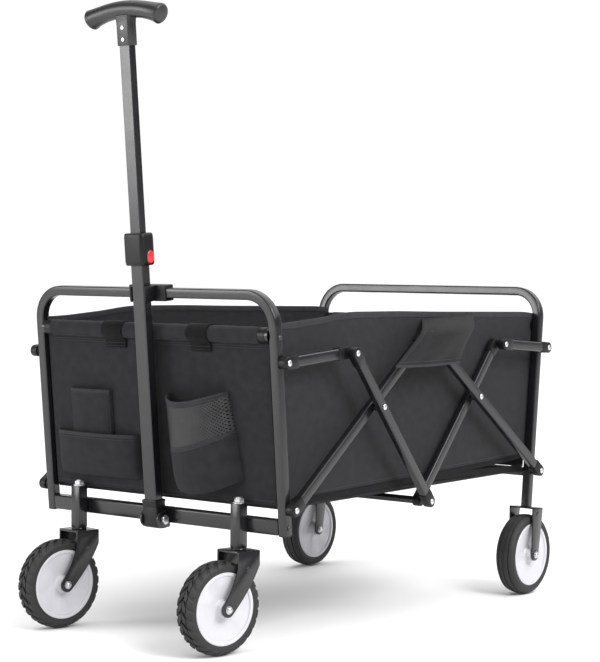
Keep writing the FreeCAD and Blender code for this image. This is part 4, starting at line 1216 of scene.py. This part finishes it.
straps, rows = [], []
for y0, y1 in STRAPS:
    path = [(STRAP_R * math.cos(math.radians(a)), RAIL_RISE + STRAP_R * math.sin(math.radians(a)), a)
            for a in range(215, -31, -12)]
    path += [(9.5, 268.5, -20), (4.2, 262, -8), (2.6, 256, 0), (2.4, 249, 0)]
    stations = []
    for x, z, a in path:
        normal = (math.cos(math.radians(a)), 0, math.sin(math.radians(a)))
        stations.append(((x, (y0 + y1) / 2, z), (0, 1, 0), normal, 1))
    straps.append(swept(stations, rounded(y1 - y0, 1.7, 0.8, 2)))
    rows += [seam(1, 3.6, y0 + 4, y1 - 4, 252, 8), seam(1, 3.9, y0 + 4, y1 - 4, 257, 8)]
strap = piece("hem_straps", straps, "front_frame", WEBBING, (), on_end(1), weld=False)
flat_uv(strap, lambda co: (co.y, co.z))
stitch("strap_stitches", rows, "front_frame", spacing=3.6)

# %% [markdown]
# ## Pockets
# Each pocket is a patch that stands off the front panel, fullest in its middle. The bottle pocket is a sewn
# cup below and a mesh sleeve above; the mesh is a pattern of holes in the material.

# %%
def patch(name, y0, y1, r0, r1, depth, cad, top_rise=0.0, foot_pinch=0.5, power=0.55, foot_rise=0.0,
          lean=(0.0, 0.0),
          sag=0.0):
    """A pocket front between two heights; depth is how far its middle stands off, in millimetres."""
    nu, nv = 40, 24

    def place(u, v):
        bow = max(0.0, 1 - (2 * u - 1) ** 2) ** power
        fill = foot_pinch + (1 - foot_pinch) * math.sin(min(1.0, v / 0.45) * math.pi / 2)
        wrinkle = 0.6 * math.sin(9 * u + 3 * v) * math.sin(7 * v) * bow
        low, high = r0 + foot_rise * u * u, r1 + top_rise * (u - 0.5)
        rise = low * (1 - v) + high * v - sag * math.sin(math.pi * u ** 0.8)
        across = y0 + lean[0] * v + (y1 + lean[1] * v - y0 - lean[0] * v) * u
        return at_end(1, 2.4 + depth * bow * fill + wrinkle, across, rise)

    grid = [[place(i / nu, j / nv) for j in range(nv + 1)] for i in range(nu + 1)]
    arc = sum((grid[i + 1][nv // 2] - grid[i][nv // 2]).length for i in range(nu))
    tall = sum((grid[nu // 2][j + 1] - grid[nu // 2][j]).length for j in range(nv))
    obj = thicken(link_mesh(name, grid_mesh(name, grid, (arc, tall))), 1.2, 0.0)
    finish_piece(obj, "front_frame", CLOTH, cad)
    return grid


def rim_tape(name, points, width=7.0, thick=2.6):
    return ribbon(name, points, (math.cos(LEAN), 0, -math.sin(LEAN)), tuple(UP),
                  rounded(thick, width, 1.1, 2),
                  "front_frame", BINDING)


def rise_of(z):
    return (z - B0.z) / math.cos(LEAN)


def top_of(grid, row=-1, skip=0):
    """A pocket's rim, or a row below it, with a few points left out at each end."""
    line = [column[row] for column in grid]
    return line[skip:len(line) - skip]


grid = patch("phone_pocket_cloth", -192, -100, rise_of(300), rise_of(408), 10.0, ["phone_pocket"],
             power=0.3, foot_pinch=0.9)
rim_tape("phone_pocket_rim", top_of(grid))
rows = [shifted(grid[1], 1.2), shifted(grid[39], 1.2), shifted(top_of(grid, -2, 2), 1.4)]
stitch("phone_pocket_stitches", rows, "front_frame")
grid = patch("slip_pocket_cloth", -228, -42, rise_of(262), rise_of(334), 17.0, ["phone_pocket"], power=0.35)
rim_tape("slip_pocket_rim", top_of(grid), 6.0)
stitch("slip_pocket_stitches", [shifted(top_of(grid, -3, 2), 1.2)], "front_frame")
CUP_TOP, CUP_TILT, CUP_SLIDE = 340.0, -30.0, 0.51
CUP_LEFT, CUP_RIGHT, CUP_DEPTH = 40, 180, 42
grid = patch("bottle_cup_cloth", CUP_LEFT, CUP_RIGHT, rise_of(258), rise_of(CUP_TOP), CUP_DEPTH,
             ["bottle_pocket"],
             top_rise=-CUP_TILT, foot_pinch=0.62, foot_rise=20, lean=(-11 * CUP_SLIDE, -24 * CUP_SLIDE),
             sag=9.0)
rim_tape("bottle_cup_rim", top_of(grid), 8.0)
stitch("bottle_cup_stitches", [shifted(top_of(grid, -2, 1), 1.5)], "front_frame")


def sleeve(u, v):
    """The mesh goes on from the cup's rim, leaning the same way and a little flatter."""
    bow = max(0.0, 1 - (2 * u - 1) ** 2) ** 0.55
    low, high = rise_of(CUP_TOP) - CUP_TILT * (u - 0.5), rise_of(412) + 9 * (u - 0.5)
    slide = CUP_SLIDE + (1 - CUP_SLIDE) * v
    left, right = CUP_LEFT - 11 * slide, CUP_RIGHT - 24 * slide
    return at_end(1, 2.4 + CUP_DEPTH * bow * (1 - 0.05 * v) + 0.8 * math.sin(14 * u + 4 * v) * bow,
                  left + (right - left) * u,
                  low + (high - low) * v - (9 + 2 * v) * math.sin(math.pi * u ** 0.8))


grid = [[sleeve(i / 40, j / 20) for j in range(21)] for i in range(41)]
arc = sum((grid[i + 1][10] - grid[i][10]).length for i in range(40))
mesh_obj = thicken(link_mesh("bottle_mesh", grid_mesh("bottle_mesh", grid, (arc, 0.07))), 0.6)
finish_piece(mesh_obj, "front_frame", MESH)
rim_tape("bottle_mesh_rim", top_of(grid), 10.0, 3.0)
rows = [shifted(top_of(grid, -1, 1), 1.7, 0, up) for up in (-2.5, 2.5)]
stitch("bottle_mesh_stitches", rows, "front_frame")

# %% [markdown]
# ## Floor
# Four boards are sewn into the floor cloth, so it is nearly flat with a groove at each fold line. A webbing
# band runs along its edge from foot to foot.

# %%
def floor_piece():
    low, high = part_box("tub_floor")
    x0, x1, y0, y1 = low[0] / MM - 4.0, high[0] / MM + 4.0, low[1] / MM - 3.0, high[1] / MM + 3.0
    nx, ny = 120, 48
    folds = [x0 + (x1 - x0) * k / 4 for k in (1, 2, 3)]
    verts, faces = [], []
    for i in range(nx + 1):
        for j in range(ny + 1):
            x, y = x0 + (x1 - x0) * i / nx, y0 + (y1 - y0) * j / ny
            groove = sum(2.2 * math.exp(-((x - f) / 5.0) ** 2) for f in folds)
            rim = min(i, nx - i, j, ny - j)
            tuck = 1.4 if rim == 0 else 0.4 if rim == 1 else 0
            puff = 0.5 * math.sin(x * 0.05) * math.sin(y * 0.043) - tuck
            verts.append(Vector((x, y, high[2] / MM - 0.6 - groove + puff)))
    n, w = len(verts), ny + 1
    verts += [Vector((v.x, v.y, low[2] / MM)) for v in verts[:n]]
    for i in range(nx):
        for j in range(ny):
            k = i * w + j
            faces += [(k, k + 1, k + w + 1, k + w), (n + k, n + k + w, n + k + w + 1, n + k + 1)]
    loop = list(range(w)) + [i * w + ny for i in range(1, nx + 1)]
    loop += [nx * w + j for j in range(ny - 1, -1, -1)] + [i * w for i in range(nx - 1, 0, -1)]
    faces += [(a, n + a, n + b, b) for a, b in zip(loop, loop[1:] + loop[:1])]
    obj = piece("floor_mat", [(verts, faces)], "front_frame", LINING, ["tub_floor"], sharp=60)
    flat_uv(obj, lambda co: (co.x, co.y + co.z))
    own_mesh(obj)
    rows = [[Vector((f + o, y0 + 6 + (y1 - y0 - 12) * k / 30, high[2] / MM - 1.6)) * MM for k in range(31)]
            for f in folds for o in (-6, 6)]
    thread = stitch("floor_stitches", rows, "front_frame", spacing=5.0)
    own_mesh(thread)


def band_line(side):
    """From the rear foot up to the middle of the side, then along the cloth's edge to the front foot."""
    line = []
    for k in range(61):
        w = k / 60
        rise = 8 * math.sin(math.pi * w) ** 1.3 if w <= 0.5 else 8 - 10 * (w - 0.5)
        line.append(Vector((C0.x + 9 + (B0.x - C0.x - 18) * w, side * SIDE_Y, FLOOR_Z + rise)) * MM)
    return line


floor_piece()
for side, word in ((1, "left"), (-1, "right")):
    band = ribbon("floor_edge_band_" + word, band_line(side), (0, 1, 0), (0, 0, 1),
                  rounded(3.2, 12.0, 1.5, 2), "front_frame", WEBBING)
    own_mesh(band)
print("all pieces", len(MADE))

# %% [markdown]
# ## Stage and camera
# A pale floor, a white world that glows most behind the wagon, and large soft lights. The camera stands in
# front of the left corner and looks slightly down; a small shift keeps the verticals as they are.

# %%
def area_light(name, place, target, size, power, colour=(1, 1, 1)):
    data = bpy.data.lights.new(name, "AREA")
    data.shape = "DISK"
    data.size, data.energy, data.color = size, power, colour
    obj = bpy.data.objects.new(name, data)
    bpy.context.scene.collection.objects.link(obj)
    obj.location = place
    obj.rotation_euler = (Vector(target) - Vector(place)).to_track_quat("-Z", "Y").to_euler()
    return obj


world = bpy.data.worlds.new("studio")
bpy.context.scene.world = world
world.use_nodes = True
background = world.node_tree.nodes["Background"]
background.inputs["Color"].default_value = (1.0, 1.0, 1.0, 1.0)
sky = node(world.node_tree, "ShaderNodeTexCoord")
facing = node(world.node_tree, "ShaderNodeVectorMath",
              {0: sky.outputs["Generated"], 1: (-0.795, -0.606, -0.04)},
              operation="DOT_PRODUCT")
glow = node(world.node_tree, "ShaderNodeMapRange",
            {0: facing.outputs["Value"], 1: 0.35, 2: 0.85, 3: 0.25, 4: 1.02})
world.node_tree.links.new(glow.outputs[0], background.inputs["Strength"])
GROUND_HALF = 30
ground_mesh = bpy.data.meshes.new("ground")
corners = [(x * GROUND_HALF, y * GROUND_HALF, -0.0005) for x, y in ((-1, -1), (1, -1), (1, 1), (-1, 1))]
ground_mesh.from_pydata(corners, [], [(0, 1, 2, 3)])
ground = link_mesh("ground", ground_mesh)
ground_mat = bpy.data.materials.new("ground")
ground_mat.use_nodes = True
ground_bsdf = ground_mat.node_tree.nodes["Principled BSDF"]
ground_bsdf.inputs["Base Color"].default_value = (0.92, 0.92, 0.92, 1)
ground_bsdf.inputs["Roughness"].default_value = 0.9
ground.data.materials.append(ground_mat)
lights = [area_light("key", (0.6, 3.2, 2.6), (0, 0, 0.4), 2.2, 120),
          area_light("fill", (3.6, 0.2, 1.6), (0, 0, 0.5), 2.0, 10),
          area_light("window", (3.3, -2.3, 1.25), (0, 0, 0.75), 1.9, 78)]
overhead = bpy.data.objects.new("overhead", bpy.data.lights.new("overhead", "SUN"))
overhead.data.energy, overhead.data.angle = 3.1, math.radians(110)
overhead.rotation_euler = (math.radians(-14), math.radians(-10), 0)
bpy.context.scene.collection.objects.link(overhead)
lights.append(overhead)

EYE = Vector((2705.5 + TOP_SHIFT, 2054.2, 628.9)) * MM
RIGHT, CAM_UP = Vector((-0.60662, 0.79494, 0.00955)), Vector((-0.02813, -0.03347, 0.99904))
BACK = RIGHT.cross(CAM_UP)
camera_data = bpy.data.cameras.new("camera")
camera_data.sensor_width = 36
camera_data.lens = 100.776
camera_data.shift_x, camera_data.shift_y = 0.0017, 0.0163
camera_data.clip_end = 100
camera = bpy.data.objects.new("camera", camera_data)
bpy.context.scene.collection.objects.link(camera)
camera.matrix_world = Matrix((RIGHT, CAM_UP, BACK)).transposed().to_4x4()
camera.location = EYE
bpy.context.scene.camera = camera
bpy.context.scene.view_settings.view_transform = "Standard"
print("camera at", [round(value, 3) for value in EYE])
